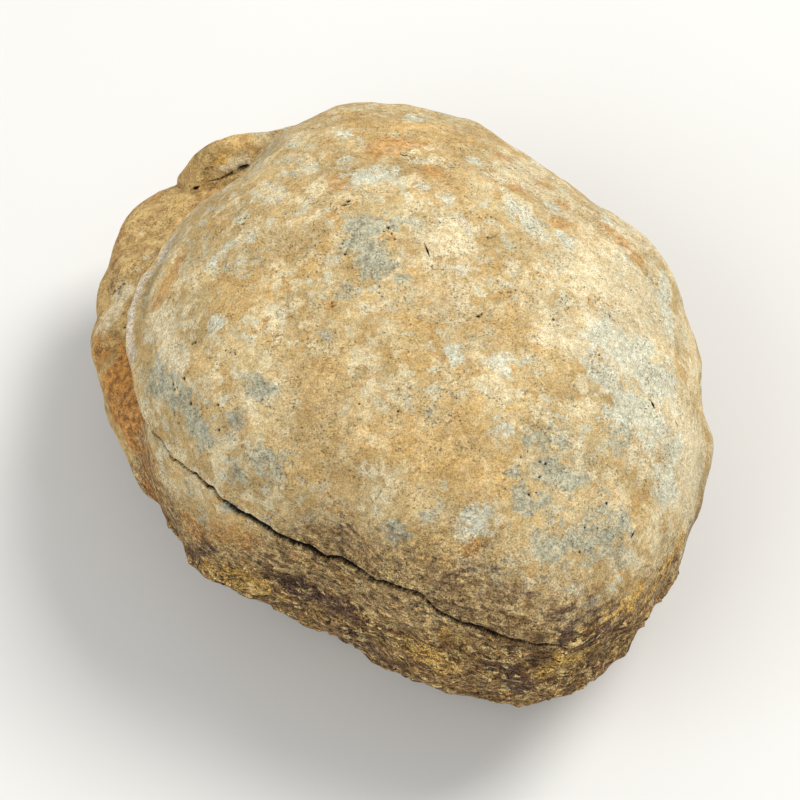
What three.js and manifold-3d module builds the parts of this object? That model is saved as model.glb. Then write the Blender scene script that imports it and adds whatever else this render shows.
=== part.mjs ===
// A closed fossil concretion: one rounded stone, split part of the way round by an open crack.
// Millimetres, +Z up. The stone lies on a small worn flat at z = 0, under the origin, and its
// smooth pale dome is on top. On the left and back left the dome ends in an overhanging lip above
// a lower brown ledge, and a separate knob of the ledge stands at the back left.
import * as THREE from "three";
import { mergeVertices } from "three/addons/utils/BufferGeometryUtils.js";
import Module from "manifold-3d";

const wasm = await Module();
wasm.setup();

// Overall levels.
const DOME_TOP = 42;
const FOOT_DEPTH = 0.6; // the body would reach this far below the worn flat
const CORE_HEIGHT = 17; // every surface point is measured from this point on the axis
const BODY_ROUNDNESS = 2.2; // 2 is an ellipse, larger is squarer

// The body's girth: azimuth from +X in degrees, radius, height of the widest level, and how far
// the wall steps in below the lip.
const GIRTH = [
  { at: -15, radius: 32.3, level: 18, undercut: 0 },
  { at: -6, radius: 32.0, level: 18, undercut: 0 },
  { at: 10, radius: 31.5, level: 18, undercut: 0 },
  { at: 24, radius: 31.9, level: 18, undercut: 0 },
  { at: 35, radius: 31.7, level: 18, undercut: 0 },
  { at: 48, radius: 30.5, level: 18, undercut: 0 },
  { at: 63, radius: 30.9, level: 18, undercut: 0 },
  { at: 77, radius: 33.2, level: 18, undercut: 0 },
  { at: 90, radius: 34.6, level: 18, undercut: 0 },
  { at: 100, radius: 34.8, level: 18, undercut: 0 },
  { at: 112, radius: 33.7, level: 17, undercut: 0 },
  { at: 128, radius: 32.2, level: 14, undercut: 4 },
  { at: 145, radius: 32.0, level: 12, undercut: 5 },
  { at: 160, radius: 31.8, level: 11, undercut: 5 },
  { at: 175, radius: 31.2, level: 11, undercut: 4 },
  { at: 190, radius: 28.2, level: 16, undercut: 1 },
  { at: 200, radius: 26.5, level: 18, undercut: 0 },
  { at: 212, radius: 25.6, level: 18, undercut: 0 },
  { at: 221, radius: 25.6, level: 17, undercut: 0 },
  { at: 232, radius: 24.3, level: 18, undercut: 0 },
  { at: 254, radius: 23.9, level: 18, undercut: 0 },
  { at: 270, radius: 27.4, level: 18, undercut: 0 },
  { at: 283, radius: 31.0, level: 18, undercut: 0 },
  { at: 296, radius: 34.8, level: 18, undercut: 0 },
  { at: 308, radius: 34.9, level: 18, undercut: 0 },
  { at: 322, radius: 33.4, level: 18, undercut: 0 },
  { at: 334, radius: 32.6, level: 18, undercut: 0 },
];
const CROWN = { long: 32.5, short: 28.5, turn: -38 }; // the dome's plainer oval near its top
const CROWN_BLEND = [0.4, 1.0]; // shares of the height over which the girth fades to the crown
const AXIS_BLEND = [2, 16]; // distances from the axis over which the girth's level takes hold
const AXIS_LEVEL = 16;

// The overhanging lip of the dome.
const LIP_HEIGHT = 26;
const LIP_SOFTNESS = 1.2;
const LIP_SECTOR = [124, 189];
const CREVICE_SEARCH = { from: 3.6, to: 12, step: 0.2 }; // degrees below the lip
const LINE_CATCH = 1.8; // degrees within which a corner of the surface moves to the lip or crevice

// The brown ledge below the lip, widest at the left and back left.
const LEDGE = [
  { at: 0, radius: 26.0 },
  { at: 60, radius: 26.0 },
  { at: 100, radius: 29.0 },
  { at: 114, radius: 32.5 },
  { at: 123, radius: 36.4 },
  { at: 131, radius: 38.6 },
  { at: 139, radius: 38.4 },
  { at: 148, radius: 36.8 },
  { at: 161, radius: 33.9 },
  { at: 172, radius: 32.0 },
  { at: 178, radius: 30.5 },
  { at: 190, radius: 26.6 },
  { at: 205, radius: 24.5 },
  { at: 250, radius: 23.0 },
  { at: 300, radius: 26.0 },
];
const LEDGE_LEVEL = 15;
const LEDGE_RISE = 8.5;
const LEDGE_DROP = 15.6;
const LEDGE_ROUNDNESS = [2.6, 2.2]; // above and below its widest level
const LEDGE_BLEND = [0.6, 1.0];
const SOLE = { long: 31, short: 26, turn: -38 };

// The angular knob at the back left, bounded by facets with worn edges: the azimuth and elevation
// that each faces in degrees, and its distance from the knob's centre.
const KNOB_CENTRE = [-15.5, 29.3, 18];
const KNOB_FACETS = [
  { azimuth: 10, elevation: 84, distance: 6.8 },
  { azimuth: 105, elevation: 8, distance: 2.45 },
  { azimuth: 197, elevation: 29, distance: 7.7 },
  { azimuth: 30, elevation: 10, distance: 8.1 },
  { azimuth: 300, elevation: -10, distance: 10 },
  { azimuth: 120, elevation: -70, distance: 9 },
  { azimuth: 112, elevation: -38, distance: 5 },
  { azimuth: 195, elevation: -38, distance: 7.5 },
  { azimuth: 60, elevation: -32, distance: 5.5 },
  { azimuth: 285, elevation: 22, distance: 2.6 }, // the inner facet, which faces the dome
];
const KNOB_ROUNDNESS = 14; // larger is sharper
const LEDGE_JOIN = 0.7; // how softly the ledge runs into the body

// Hollows and lumps that can be told apart: centre, reach and height, a hollow being negative.
const LANDMARKS = [
  { x: -10, y: -8, z: 40, reach: 5.0, height: -0.5 }, // shallow dent in the dome
  { x: -8, y: -16.5, z: 36, reach: 2.6, height: -0.35 }, // oblique fold, upper end
  { x: -5, y: -19, z: 34.5, reach: 2.6, height: -0.45 },
  { x: -3.5, y: -22, z: 30.5, reach: 2.6, height: -0.35 }, // oblique fold, lower end
  { x: 32, y: -4, z: 18.5, reach: 3.2, height: 0.75 }, // bump on the right
  { x: 31, y: 0.7, z: 20, reach: 1.9, height: -1.1 }, // nick above that bump
  { x: 31, y: 4.5, z: 21, reach: 3.2, height: 0.55 }, // corner above that nick
  { x: 27.5, y: 15, z: 24, reach: 4.5, height: 0.5 }, // blunt corner at the back right
  { x: 19.5, y: 21.5, z: 27, reach: 4.5, height: -0.2 }, // flatter slope beside it
  { x: 12, y: 25.5, z: 29, reach: 4.0, height: 0.25 },
  { x: 21.5, y: -28, z: 18.5, reach: 3.2, height: -0.9 }, // flat at the lower right
  { x: -22, y: -15.5, z: 13, reach: 2.6, height: 0.7 }, // corner at the lower left
  { x: -22.3, y: -14, z: 16.5, reach: 1.5, height: -0.4 }, // nick above that corner
  { x: -27.6, y: -3.6, z: 12, reach: 2.6, height: 0.45 },
  { x: -29.8, y: -0.4, z: 16.4, reach: 2.4, height: -0.7 },
  { x: -12, y: -20.5, z: 13, reach: 2.4, height: -1.1 }, // nick in the crust, front left
  { x: -10.8, y: -19.4, z: 11, reach: 3.0, height: -0.9 },
  { x: 3, y: -28, z: 15, reach: 3.0, height: 0.5 }, // crust lump, front
  { x: 15, y: -31, z: 17, reach: 3.0, height: 0.5 }, // crust lump, front right
  { x: -28.5, y: 24.6, z: 17.6, reach: 3.0, height: 0.7 }, // shoulder of the ledge
  { x: -31.5, y: 14, z: 18.5, reach: 3.4, height: -0.9 }, // slack in the ledge's rim
  { x: -32.2, y: 9.5, z: 17.3, reach: 3.0, height: 0.8 }, // swelling of the ledge
  { x: -17.5, y: 27, z: 21, reach: 4.0, height: 1.2 }, // rise of the ledge towards the knob
  { x: -16.2, y: 24.6, z: 28, reach: 4.0, height: -1.0 }, // the dome draws in beside the knob
  { x: -24.7, y: 14, z: 27.5, reach: 3.0, height: -0.45 },
  { x: 8, y: 31, z: 12, reach: 6.5, height: -0.9 }, // scar at the back
  { x: 26, y: 13, z: 8, reach: 6.0, height: -0.8 }, // scar low on the right
  { x: -12, y: -8, z: 1, reach: 6.0, height: -0.5 }, // hollow on the underside
];

// Natural unevenness: lumps all over, and a rough crust on the lower wall.
const LUMP = { size: 13, height: 0.55, seed: 1 };
const RIPPLE = { size: 6.5, height: 0.3, seed: 2 };
const CRUST = { size: 4.2, height: 0.55, seed: 3 };
const CRUST_EDGE = { size: 9, height: 2, seed: 5 };
const CRUST_LEVELS = [14, 24]; // full strength below the first, none above the second
const FOOT_FADE = [0.5, 4]; // the crust dies out towards the worn flat

// The open crack, from the end of the lip round the front: azimuth and height along its mouth.
const CRACK = [
  { at: 186, height: 25.2 },
  { at: 192, height: 25.9 },
  { at: 198.6, height: 26.5 },
  { at: 204.5, height: 26.9 },
  { at: 212, height: 27.9 },
  { at: 218, height: 28.6 },
  { at: 220.5, height: 28.4 },
  { at: 227.7, height: 27.7 },
  { at: 232.9, height: 27.2 },
  { at: 240.5, height: 26.7 },
  { at: 250.8, height: 26.3 },
  { at: 254.9, height: 26.7 },
  { at: 260, height: 27.1 },
  { at: 264.7, height: 27.2 },
  { at: 267.5, height: 27.6 },
  { at: 271.3, height: 27.9 },
  { at: 274.7, height: 27.9 },
  { at: 278.6, height: 26.7 },
  { at: 284, height: 26.3 },
  { at: 288.5, height: 25.9 },
  { at: 295.1, height: 25.5 },
  { at: 298.5, height: 25.2 },
];
const CRACK_WIDTH = 0.42;
const CRACK_DEPTH = 4.5;
const CRACK_END_DEPTH = 1.2;

// The wedge-shaped slit under the knob's inner facet: the ends of its mouth, how far it gapes at
// each end, how deep it goes and which way.
const SLIT = {
  start: [-18.6, 26.9, 22.2],
  end: [-16.6, 27.4, 22.3],
  gape: [0.2, 0.7],
  depth: 2.0,
  way: [0.35, 0.85, -0.45],
};

const DIVISIONS = 20; // each of the twenty starting faces is split this many times along an edge
const KNOB_DIVISIONS = 9;
const REACH_OUT = 48; // farther than any point of the stone from its core
const KNOB_REACH = 22; // farther than any point of the knob from its centre
const STEP = 0.5;

const DEGREE = Math.PI / 180;

function mix(a, b, share) {
  return a + (b - a) * share;
}

function smoothStep(low, high, value) {
  const t = Math.min(Math.max((value - low) / (high - low), 0), 1);
  return t * t * (3 - 2 * t);
}

// A smooth closed curve of one quantity against azimuth.
function ring(rows, key) {
  const sorted = [...rows].sort((p, q) => (((p.at % 360) + 360) % 360) - (((q.at % 360) + 360) % 360));
  const angles = sorted.map((row) => (((row.at % 360) + 360) % 360) * DEGREE);
  const values = sorted.map((row) => row[key]);
  const count = values.length;
  const angle = (i) => angles[((i % count) + count) % count] + 2 * Math.PI * Math.floor(i / count);
  const value = (i) => values[((i % count) + count) % count];
  const slope = (i) => (value(i + 1) - value(i - 1)) / (angle(i + 1) - angle(i - 1));
  return (azimuth) => {
    let a = azimuth - 2 * Math.PI * Math.floor(azimuth / (2 * Math.PI));
    if (a < angles[0]) a += 2 * Math.PI;
    let i = count - 1;
    while (i > 0 && angles[i] > a) i -= 1;
    const span = angle(i + 1) - angle(i);
    const t = (a - angle(i)) / span;
    const t2 = t * t;
    const t3 = t2 * t;
    return (
      (2 * t3 - 3 * t2 + 1) * value(i) +
      (t3 - 2 * t2 + t) * span * slope(i) +
      (3 * t2 - 2 * t3) * value(i + 1) +
      (t3 - t2) * span * slope(i + 1)
    );
  };
}

function ovalRadius(oval, azimuth) {
  const turned = azimuth - oval.turn * DEGREE;
  return 1 / Math.hypot(Math.cos(turned) / oval.long, Math.sin(turned) / oval.short);
}

// Two forms run together softly; both values are negative inside their form.
function join(a, b, softness) {
  const h = Math.min(Math.max(0.5 + (0.5 * (b - a)) / softness, 0), 1);
  return b * (1 - h) + a * h - softness * h * (1 - h);
}

function scatter(i, j, k, seed) {
  const s = Math.sin(i * 127.1 + j * 311.7 + k * 74.7 + seed * 53.3) * 43758.5453;
  return s - Math.floor(s);
}

// Smooth random relief between -1 and 1 whose lumps are about `size` across.
function relief(p, size, seed) {
  const shift = 1 + seed * 0.37;
  const q = [p[0] / size + 17.3 * shift, p[1] / size - 5.1 * shift, p[2] / size + 9.7 * shift];
  const cell = q.map(Math.floor);
  const ease = q.map((v, n) => {
    const f = v - cell[n];
    return f * f * f * (f * (f * 6 - 15) + 10);
  });
  const corner = (a, b, c) => scatter(cell[0] + a, cell[1] + b, cell[2] + c, seed);
  const edge = (b, c) => mix(corner(0, b, c), corner(1, b, c), ease[0]);
  const face = (c) => mix(edge(0, c), edge(1, c), ease[1]);
  return 2 * mix(face(0), face(1), ease[2]) - 1;
}

// The same point in a frame turned out of line with the axes, so that two reliefs don't line up.
function turned(p) {
  return [
    0.36 * p[0] + 0.48 * p[1] - 0.8 * p[2],
    -0.8 * p[0] + 0.6 * p[1],
    0.48 * p[0] + 0.64 * p[1] + 0.6 * p[2],
  ];
}

const girthRadius = ring(GIRTH, "radius");
const girthLevel = ring(GIRTH, "level");
const girthUndercut = ring(GIRTH, "undercut");
const ledgeRadius = ring(LEDGE, "radius");

// The rounded body with the dome on top and the step below the lip.
function bodyForm([x, y, z]) {
  const azimuth = Math.atan2(y, x);
  const below = smoothStep(0, 1, (LIP_HEIGHT - z) / LIP_SOFTNESS);
  const plan = Math.hypot(x, y);
  const out = plan + Math.max(girthUndercut(azimuth), 0) * below;
  const level = mix(AXIS_LEVEL, girthLevel(azimuth), smoothStep(...AXIS_BLEND, plan));
  const rise = z - level;
  const height = rise > 0 ? DOME_TOP - level : level + FOOT_DEPTH;
  const share = Math.abs(rise) / height;
  const radius = mix(girthRadius(azimuth), ovalRadius(CROWN, azimuth), smoothStep(...CROWN_BLEND, share));
  const scale = Math.pow(Math.pow(out / radius, BODY_ROUNDNESS) + Math.pow(share, BODY_ROUNDNESS), 1 / BODY_ROUNDNESS);
  return Math.hypot(out, z - CORE_HEIGHT) * (1 - 1 / Math.max(scale, 1e-6));
}

function ledgeForm([x, y, z]) {
  const azimuth = Math.atan2(y, x);
  const out = Math.hypot(x, y);
  const rise = z - LEDGE_LEVEL;
  const height = rise > 0 ? LEDGE_RISE : LEDGE_DROP;
  const roundness = rise > 0 ? LEDGE_ROUNDNESS[0] : LEDGE_ROUNDNESS[1];
  const share = Math.abs(rise) / height;
  const radius = mix(ledgeRadius(azimuth), ovalRadius(SOLE, azimuth), smoothStep(...LEDGE_BLEND, share));
  const scale = Math.pow(Math.pow(out / radius, roundness) + Math.pow(share, roundness), 1 / roundness);
  return Math.hypot(out, rise) * (1 - 1 / Math.max(scale, 1e-6));
}

function facing({ azimuth, elevation, distance }) {
  const flat = Math.cos(elevation * DEGREE);
  const across = [flat * Math.cos(azimuth * DEGREE), flat * Math.sin(azimuth * DEGREE)];
  return { normal: [...across, Math.sin(elevation * DEGREE)], distance };
}

const knobFacets = KNOB_FACETS.map(facing);

function knobForm(p) {
  const away = p.map((value, i) => value - KNOB_CENTRE[i]);
  const total = knobFacets.reduce((sum, { normal, distance }) => {
    const share = (away[0] * normal[0] + away[1] * normal[1] + away[2] * normal[2]) / distance;
    return sum + Math.pow(Math.max(share, 0), KNOB_ROUNDNESS);
  }, 0);
  const scale = Math.pow(total, 1 / KNOB_ROUNDNESS);
  return Math.hypot(...away) * (1 - 1 / Math.max(scale, 1e-6));
}

// How far the uneven skin stands proud of the plain forms.
function unevenness(p) {
  const lumps = LUMP.height * relief(p, LUMP.size, LUMP.seed);
  const ripples = RIPPLE.height * relief(turned(p), RIPPLE.size, RIPPLE.seed);
  const edge = CRUST_EDGE.height * relief(p, CRUST_EDGE.size, CRUST_EDGE.seed);
  const low = 1 - smoothStep(...CRUST_LEVELS, p[2] + edge);
  const crust = CRUST.height * relief(p, CRUST.size, CRUST.seed) * low * smoothStep(...FOOT_FADE, p[2]);
  const marks = LANDMARKS.reduce((sum, mark) => {
    const far = (p[0] - mark.x) ** 2 + (p[1] - mark.y) ** 2 + (p[2] - mark.z) ** 2;
    return sum + mark.height * Math.exp(-far / (mark.reach * mark.reach));
  }, 0);
  return lumps + ripples + crust + marks;
}

// The stone without its knob: negative inside, positive outside.
function stoneForm(p) {
  return join(bodyForm(p), ledgeForm(p), LEDGE_JOIN) - unevenness(p);
}

// The knob with its uneven skin.
function unevenKnobForm(p) {
  return knobForm(p) - unevenness(p);
}

// The distance from a start to the outermost skin of a form along a direction.
function skinDistance(form, start, direction, farthest) {
  const point = (t) => start.map((s, i) => s + direction[i] * t);
  let outside = farthest;
  let inside = farthest - STEP;
  while (inside > STEP && form(point(inside)) > 0) {
    outside = inside;
    inside -= STEP;
  }
  for (let i = 0; i < 24; i += 1) {
    const middle = (inside + outside) / 2;
    if (form(point(middle)) > 0) outside = middle;
    else inside = middle;
  }
  return inside;
}

// The skin at an azimuth and a height.
function skinAt(azimuth, height) {
  const direction = [Math.cos(azimuth), Math.sin(azimuth), 0];
  const t = skinDistance(stoneForm, [0, 0, height], direction, REACH_OUT);
  return new THREE.Vector3(direction[0] * t, direction[1] * t, height);
}

function towards(azimuth, elevation) {
  const flat = Math.cos(elevation);
  return new THREE.Vector3(flat * Math.cos(azimuth), flat * Math.sin(azimuth), Math.sin(elevation));
}

// How many degrees below the lip the wall under it meets the ledge.
function creviceBelow(azimuth, lip) {
  let below = CREVICE_SEARCH.from;
  while (below < CREVICE_SEARCH.to) {
    const direction = towards(azimuth, lip - below * DEGREE);
    const distance = skinDistance(stoneForm, [0, 0, CORE_HEIGHT], direction.toArray(), REACH_OUT);
    const place = direction.multiplyScalar(distance).toArray();
    place[2] += CORE_HEIGHT;
    if (ledgeForm(place) < bodyForm(place)) return below;
    below += CREVICE_SEARCH.step;
  }
  return below;
}

// Corners near the lip move onto it, those near the crevice below it move onto that, and those
// between the two move halfway, so that the edge and the wall under it are clean lines.
function towardsLip(direction) {
  const azimuth = Math.atan2(direction.y, direction.x);
  const degrees = (azimuth / DEGREE + 360) % 360;
  if (degrees < LIP_SECTOR[0] || degrees > LIP_SECTOR[1]) return direction;
  const edge = skinAt(azimuth, LIP_HEIGHT + 0.1);
  const lip = Math.atan2(edge.z - CORE_HEIGHT, Math.hypot(edge.x, edge.y));
  const below = (lip - Math.asin(direction.z)) / DEGREE;
  if (Math.abs(below) < LINE_CATCH) return towards(azimuth, lip);
  if (below < 0 || below > CREVICE_SEARCH.to + LINE_CATCH) return direction;
  const crevice = creviceBelow(azimuth, lip);
  if (below > crevice + LINE_CATCH) return direction;
  const share = below > crevice - LINE_CATCH ? 1 : 0.5;
  return towards(azimuth, lip - share * crevice * DEGREE);
}

// A ball of even triangles, joined along its edges.
function ball(divisions) {
  const geometry = new THREE.IcosahedronGeometry(1, divisions - 1);
  geometry.deleteAttribute("normal");
  geometry.deleteAttribute("uv");
  return mergeVertices(geometry, 1e-5);
}

function stoneGeometry() {
  const geometry = ball(DIVISIONS);
  const corners = geometry.getAttribute("position");
  for (let i = 0; i < corners.count; i += 1) {
    const plain = new THREE.Vector3().fromBufferAttribute(corners, i).normalize();
    const direction = towardsLip(plain);
    const skin = skinDistance(stoneForm, [0, 0, CORE_HEIGHT], direction.toArray(), REACH_OUT);
    const floor = direction.z < 0 ? -CORE_HEIGHT / direction.z : Infinity;
    const point = direction.multiplyScalar(Math.min(skin, floor));
    corners.setXYZ(i, point.x, point.y, floor < skin ? 0 : point.z + CORE_HEIGHT);
  }
  return geometry;
}

function knobGeometry() {
  const geometry = ball(KNOB_DIVISIONS);
  const corners = geometry.getAttribute("position");
  for (let i = 0; i < corners.count; i += 1) {
    const direction = new THREE.Vector3().fromBufferAttribute(corners, i).normalize();
    const skin = skinDistance(unevenKnobForm, KNOB_CENTRE, direction.toArray(), KNOB_REACH);
    const point = direction.multiplyScalar(skin).add(new THREE.Vector3(...KNOB_CENTRE));
    corners.setXYZ(i, ...point.toArray());
  }
  return geometry;
}

function solid(vertices, triangles) {
  const mesh = new wasm.Mesh({
    numProp: 3,
    vertProperties: new Float32Array(vertices),
    triVerts: new Uint32Array(triangles),
  });
  return new wasm.Manifold(mesh);
}

// A thin wedge through a row of sections from right to left as seen from outside: each has an
// outer place, where it gapes by twice its half, and an inner place, where it closes to an edge.
function wedge(sections) {
  const vertices = [];
  const last = sections.length - 1;
  sections.forEach(({ outer, inner, half }) => {
    vertices.push(outer.x, outer.y, outer.z + half, outer.x, outer.y, outer.z - half);
    vertices.push(inner.x, inner.y, inner.z - 0.05, inner.x, inner.y, inner.z + 0.05);
  });
  const triangles = [0, 2, 1, 0, 3, 2];
  for (let i = 0; i < last; i += 1) {
    for (let side = 0; side < 4; side += 1) {
      const a = 4 * i + side;
      const b = 4 * i + ((side + 1) % 4);
      triangles.push(a, b + 4, a + 4, a, b, b + 4);
    }
  }
  const end = 4 * last;
  triangles.push(end, end + 1, end + 2, end, end + 2, end + 3);
  return solid(vertices, triangles);
}

// The long crack: deepest and widest in its middle.
function crackWedge() {
  const last = CRACK.length - 1;
  const sections = CRACK.map(({ at, height }, i) => {
    const mouth = skinAt(at * DEGREE, height);
    const outwards = new THREE.Vector3(mouth.x, mouth.y, 0).normalize();
    const middle = Math.sqrt(Math.sin((Math.PI * i) / last));
    return {
      outer: mouth.clone().addScaledVector(outwards, 1.5),
      inner: mouth.clone().addScaledVector(outwards, -mix(CRACK_END_DEPTH, CRACK_DEPTH, middle)),
      half: (CRACK_WIDTH / 2) * mix(0.35, 1, middle),
    };
  });
  return wedge(sections);
}

// The slit under the knob's inner facet.
function slitWedge() {
  const way = new THREE.Vector3(...SLIT.way);
  const sections = [SLIT.end, SLIT.start].map((place, i) => {
    const mouth = new THREE.Vector3(...place);
    return {
      outer: mouth.clone().addScaledVector(way, -1.2),
      inner: mouth.clone().addScaledVector(way, SLIT.depth),
      half: SLIT.gape[1 - i] / 2,
    };
  });
  return wedge(sections);
}

function stoneWithCracks() {
  const [stone, knob] = [stoneGeometry(), knobGeometry()].map((geometry) =>
    solid(geometry.getAttribute("position").array, geometry.index.array),
  );
  const cut = stone.add(knob).subtract(crackWedge()).subtract(slitWedge()).simplify(0.02).getMesh();
  const geometry = new THREE.BufferGeometry();
  geometry.setAttribute("position", new THREE.BufferAttribute(cut.vertProperties, 3));
  geometry.setIndex(new THREE.BufferAttribute(cut.triVerts, 1));
  geometry.computeVertexNormals();
  return geometry;
}

const paleCreamStone = new THREE.MeshStandardMaterial({
  color: 0xc8b184,
  roughness: 0.92,
  metalness: 0,
  flatShading: true,
});

const concretion = new THREE.Mesh(stoneWithCracks(), paleCreamStone);
concretion.name = "concretion";

const fossilConcretion = new THREE.Group();
fossilConcretion.add(concretion);

export default fossilConcretion;
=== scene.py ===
"""A closed fossil concretion: one rounded stone, split part of the way round by an open crack.

The stone is formed from the same named sizes as its solid, in millimetres, on a mesh fine enough
to carry its crust, pits, cracks and lip. Its stains are soft masks kept on the mesh, and one
weathered stone finish turns them into colour, grain and relief. It lies on its worn flat on a
plain pale floor, under soft light, seen from above.
"""

import logging
import math
from collections.abc import Callable
from dataclasses import dataclass, field
from enum import Enum
from functools import cached_property

import bpy
import numpy as np
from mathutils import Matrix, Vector


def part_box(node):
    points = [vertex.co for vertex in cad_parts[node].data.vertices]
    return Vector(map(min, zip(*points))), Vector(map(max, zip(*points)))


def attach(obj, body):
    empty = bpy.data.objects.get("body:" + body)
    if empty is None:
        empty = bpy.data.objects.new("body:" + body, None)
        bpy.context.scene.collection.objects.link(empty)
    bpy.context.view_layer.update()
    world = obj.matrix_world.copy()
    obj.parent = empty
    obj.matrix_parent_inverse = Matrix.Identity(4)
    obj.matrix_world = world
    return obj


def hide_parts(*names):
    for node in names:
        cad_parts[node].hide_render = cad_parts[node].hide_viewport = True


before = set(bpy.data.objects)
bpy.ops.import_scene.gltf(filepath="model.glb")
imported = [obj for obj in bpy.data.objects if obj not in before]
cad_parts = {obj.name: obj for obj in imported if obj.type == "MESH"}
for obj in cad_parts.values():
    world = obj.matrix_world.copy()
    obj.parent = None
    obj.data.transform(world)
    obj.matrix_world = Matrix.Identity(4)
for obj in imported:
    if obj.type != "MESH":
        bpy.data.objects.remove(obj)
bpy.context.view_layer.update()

logging.basicConfig(level=logging.INFO, format="%(message)s")
LOG = logging.getLogger("concretion")

MM = 0.001  # one millimetre in the frame's metres

Array = np.ndarray
Pair = tuple[float, float]
Point = tuple[float, float, float]
Colour = tuple[float, float, float]


# ---------------------------------------------------------------------------------------------
# Shared curves and reliefs
# ---------------------------------------------------------------------------------------------


def smooth_step(low: float, high: float, value: Array) -> Array:
    """An eased ramp.

    Args:
        low: the value at which the ramp leaves 0.
        high: the value at which the ramp reaches 1.
        value: the values to ease.

    Returns:
        The eased shares, from 0 to 1.
    """
    share = np.clip((value - low) / (high - low), 0.0, 1.0)
    return share * share * (3.0 - 2.0 * share)


def mix(first: Array, second: Array, share: Array) -> Array:
    """The value that lies a share of the way from the first to the second."""
    return first + (second - first) * share


def azimuth_of(points: Array) -> Array:
    """The azimuth of each point in degrees, from 0 to 360."""
    return np.degrees(np.arctan2(points[:, 1], points[:, 0])) % 360.0


def soft_join(first: Array, second: Array, softness: float) -> Array:
    """Runs two forms together softly; both are negative inside.

    Args:
        first: the values of the first form.
        second: the values of the second form.
        softness: the reach of the fillet between them.

    Returns:
        The values of the joined form.
    """
    share = np.clip(0.5 + 0.5 * (second - first) / softness, 0.0, 1.0)
    return mix(second, first, share) - softness * share * (1.0 - share)


STRIDES = np.array([127.1, 311.7, 74.7])
SHIFT = np.array([17.3, -5.1, 9.7])
FAINTEST = -1.5  # the lowest level of painted shade kept on the mesh
SHORTEST = 1e-9  # the least squared length of a line, so that a point can stand for one
LEVEL = 1e-9  # the least fall of a ray that is taken to go down
LEAST_SCALE = 1e-6  # the least scale of a form, for a point at its very middle
LEAST_LENGTH = 1e-12  # the least length of a direction
SCATTER = 43758.5453  # large enough that neighbouring phases give unlike numbers
SEED_PHASE = 53.3  # how far apart the phases of two seeds are
SEED_SHIFT = 0.37  # how much further each seed is moved


def scatter(phase: Array) -> Array:
    """A fixed scattered number from 0 to 1 for each phase."""
    value = np.sin(phase) * SCATTER
    return value - np.floor(value)


def relief(points: Array, size: float, seed: float) -> Array:
    """Smooth random relief.

    Args:
        points: places in millimetres.
        size: the rough width of one lump.
        seed: which relief.

    Returns:
        The relief from -1 to 1.
    """
    place = points.T / size + SHIFT[:, None] * (1.0 + SEED_SHIFT * seed)
    cell = np.floor(place)
    part = place - cell
    ease = part * part * part * (part * (part * 6.0 - 15.0) + 10.0)
    phase = STRIDES @ cell + SEED_PHASE * seed
    sides = [(1.0 - ease[axis], ease[axis]) for axis in range(3)]
    total = np.zeros(len(points))
    for i, j, k in np.ndindex(2, 2, 2):
        value = scatter(phase + STRIDES @ np.array([i, j, k]))
        total += sides[0][i] * sides[1][j] * sides[2][k] * value
    return 2.0 * total - 1.0


TURN = np.array([[0.36, 0.48, -0.8], [-0.8, 0.6, 0.0], [0.48, 0.64, 0.6]])


def turned(points: Array) -> Array:
    """The same points in a frame turned out of line with the axes, so that reliefs don't line up."""
    return points @ TURN.T


def ridged(points: Array, size: float, seed: float) -> Array:
    """Relief with sharp crests, from -1 to 1.

    Args:
        points: places in millimetres.
        size: the rough distance between crests.
        seed: which relief.

    Returns:
        The ridged relief.
    """
    return 1.0 - 2.0 * np.abs(relief(turned(points), size, seed)) ** 0.8


@dataclass(frozen=True)
class Layer:
    """One layer of random relief: its height, the size of its lumps, and its seed.

    It can be turned out of line with the others, and crested where its lumps meet in sharp ridges.
    """

    height: float
    size: float
    seed: float
    turned: bool = False
    crested: bool = False

    def at(self, points: Array) -> Array:
        """The layer's height at each point.

        Args:
            points: places in millimetres.

        Returns:
            Heights in millimetres.
        """
        places = turned(points) if self.turned else points
        shape = ridged if self.crested else relief
        return self.height * shape(places, self.size, self.seed)


def layered(points: Array, layers: tuple[Layer, ...], start: Array | float = 0.0) -> Array:
    """Adds layers of relief to a starting value.

    Args:
        points: places in millimetres.
        layers: the layers.
        start: what they are added to.

    Returns:
        The sums.
    """
    total = start
    for layer in layers:
        total = total + layer.at(points)
    return total


def from_line(points: Array, start: Point, end: Point) -> tuple[Array, Array]:
    """Where places lie beside a straight line.

    Args:
        points: places in millimetres.
        start: one end of the line.
        end: its other end, which may be the same place.

    Returns:
        How far along the line each place is, from 0 to 1, and how far away from it.
    """
    origin = np.array(start, float)
    along = np.array(end, float) - origin
    part = np.clip((points - origin) @ along / max(along @ along, SHORTEST), 0.0, 1.0)
    return part, np.linalg.norm(points - origin - part[:, None] * along, axis=1)


def distance_outside(far: Array, scale: Array) -> Array:
    """A rough distance outside a form, where the form's scale is known.

    Args:
        far: each point's distance from the form's middle.
        scale: how many times the form has to grow to reach each point.

    Returns:
        Distances, negative inside.
    """
    return far * (1.0 - 1.0 / np.maximum(scale, LEAST_SCALE))


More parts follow.
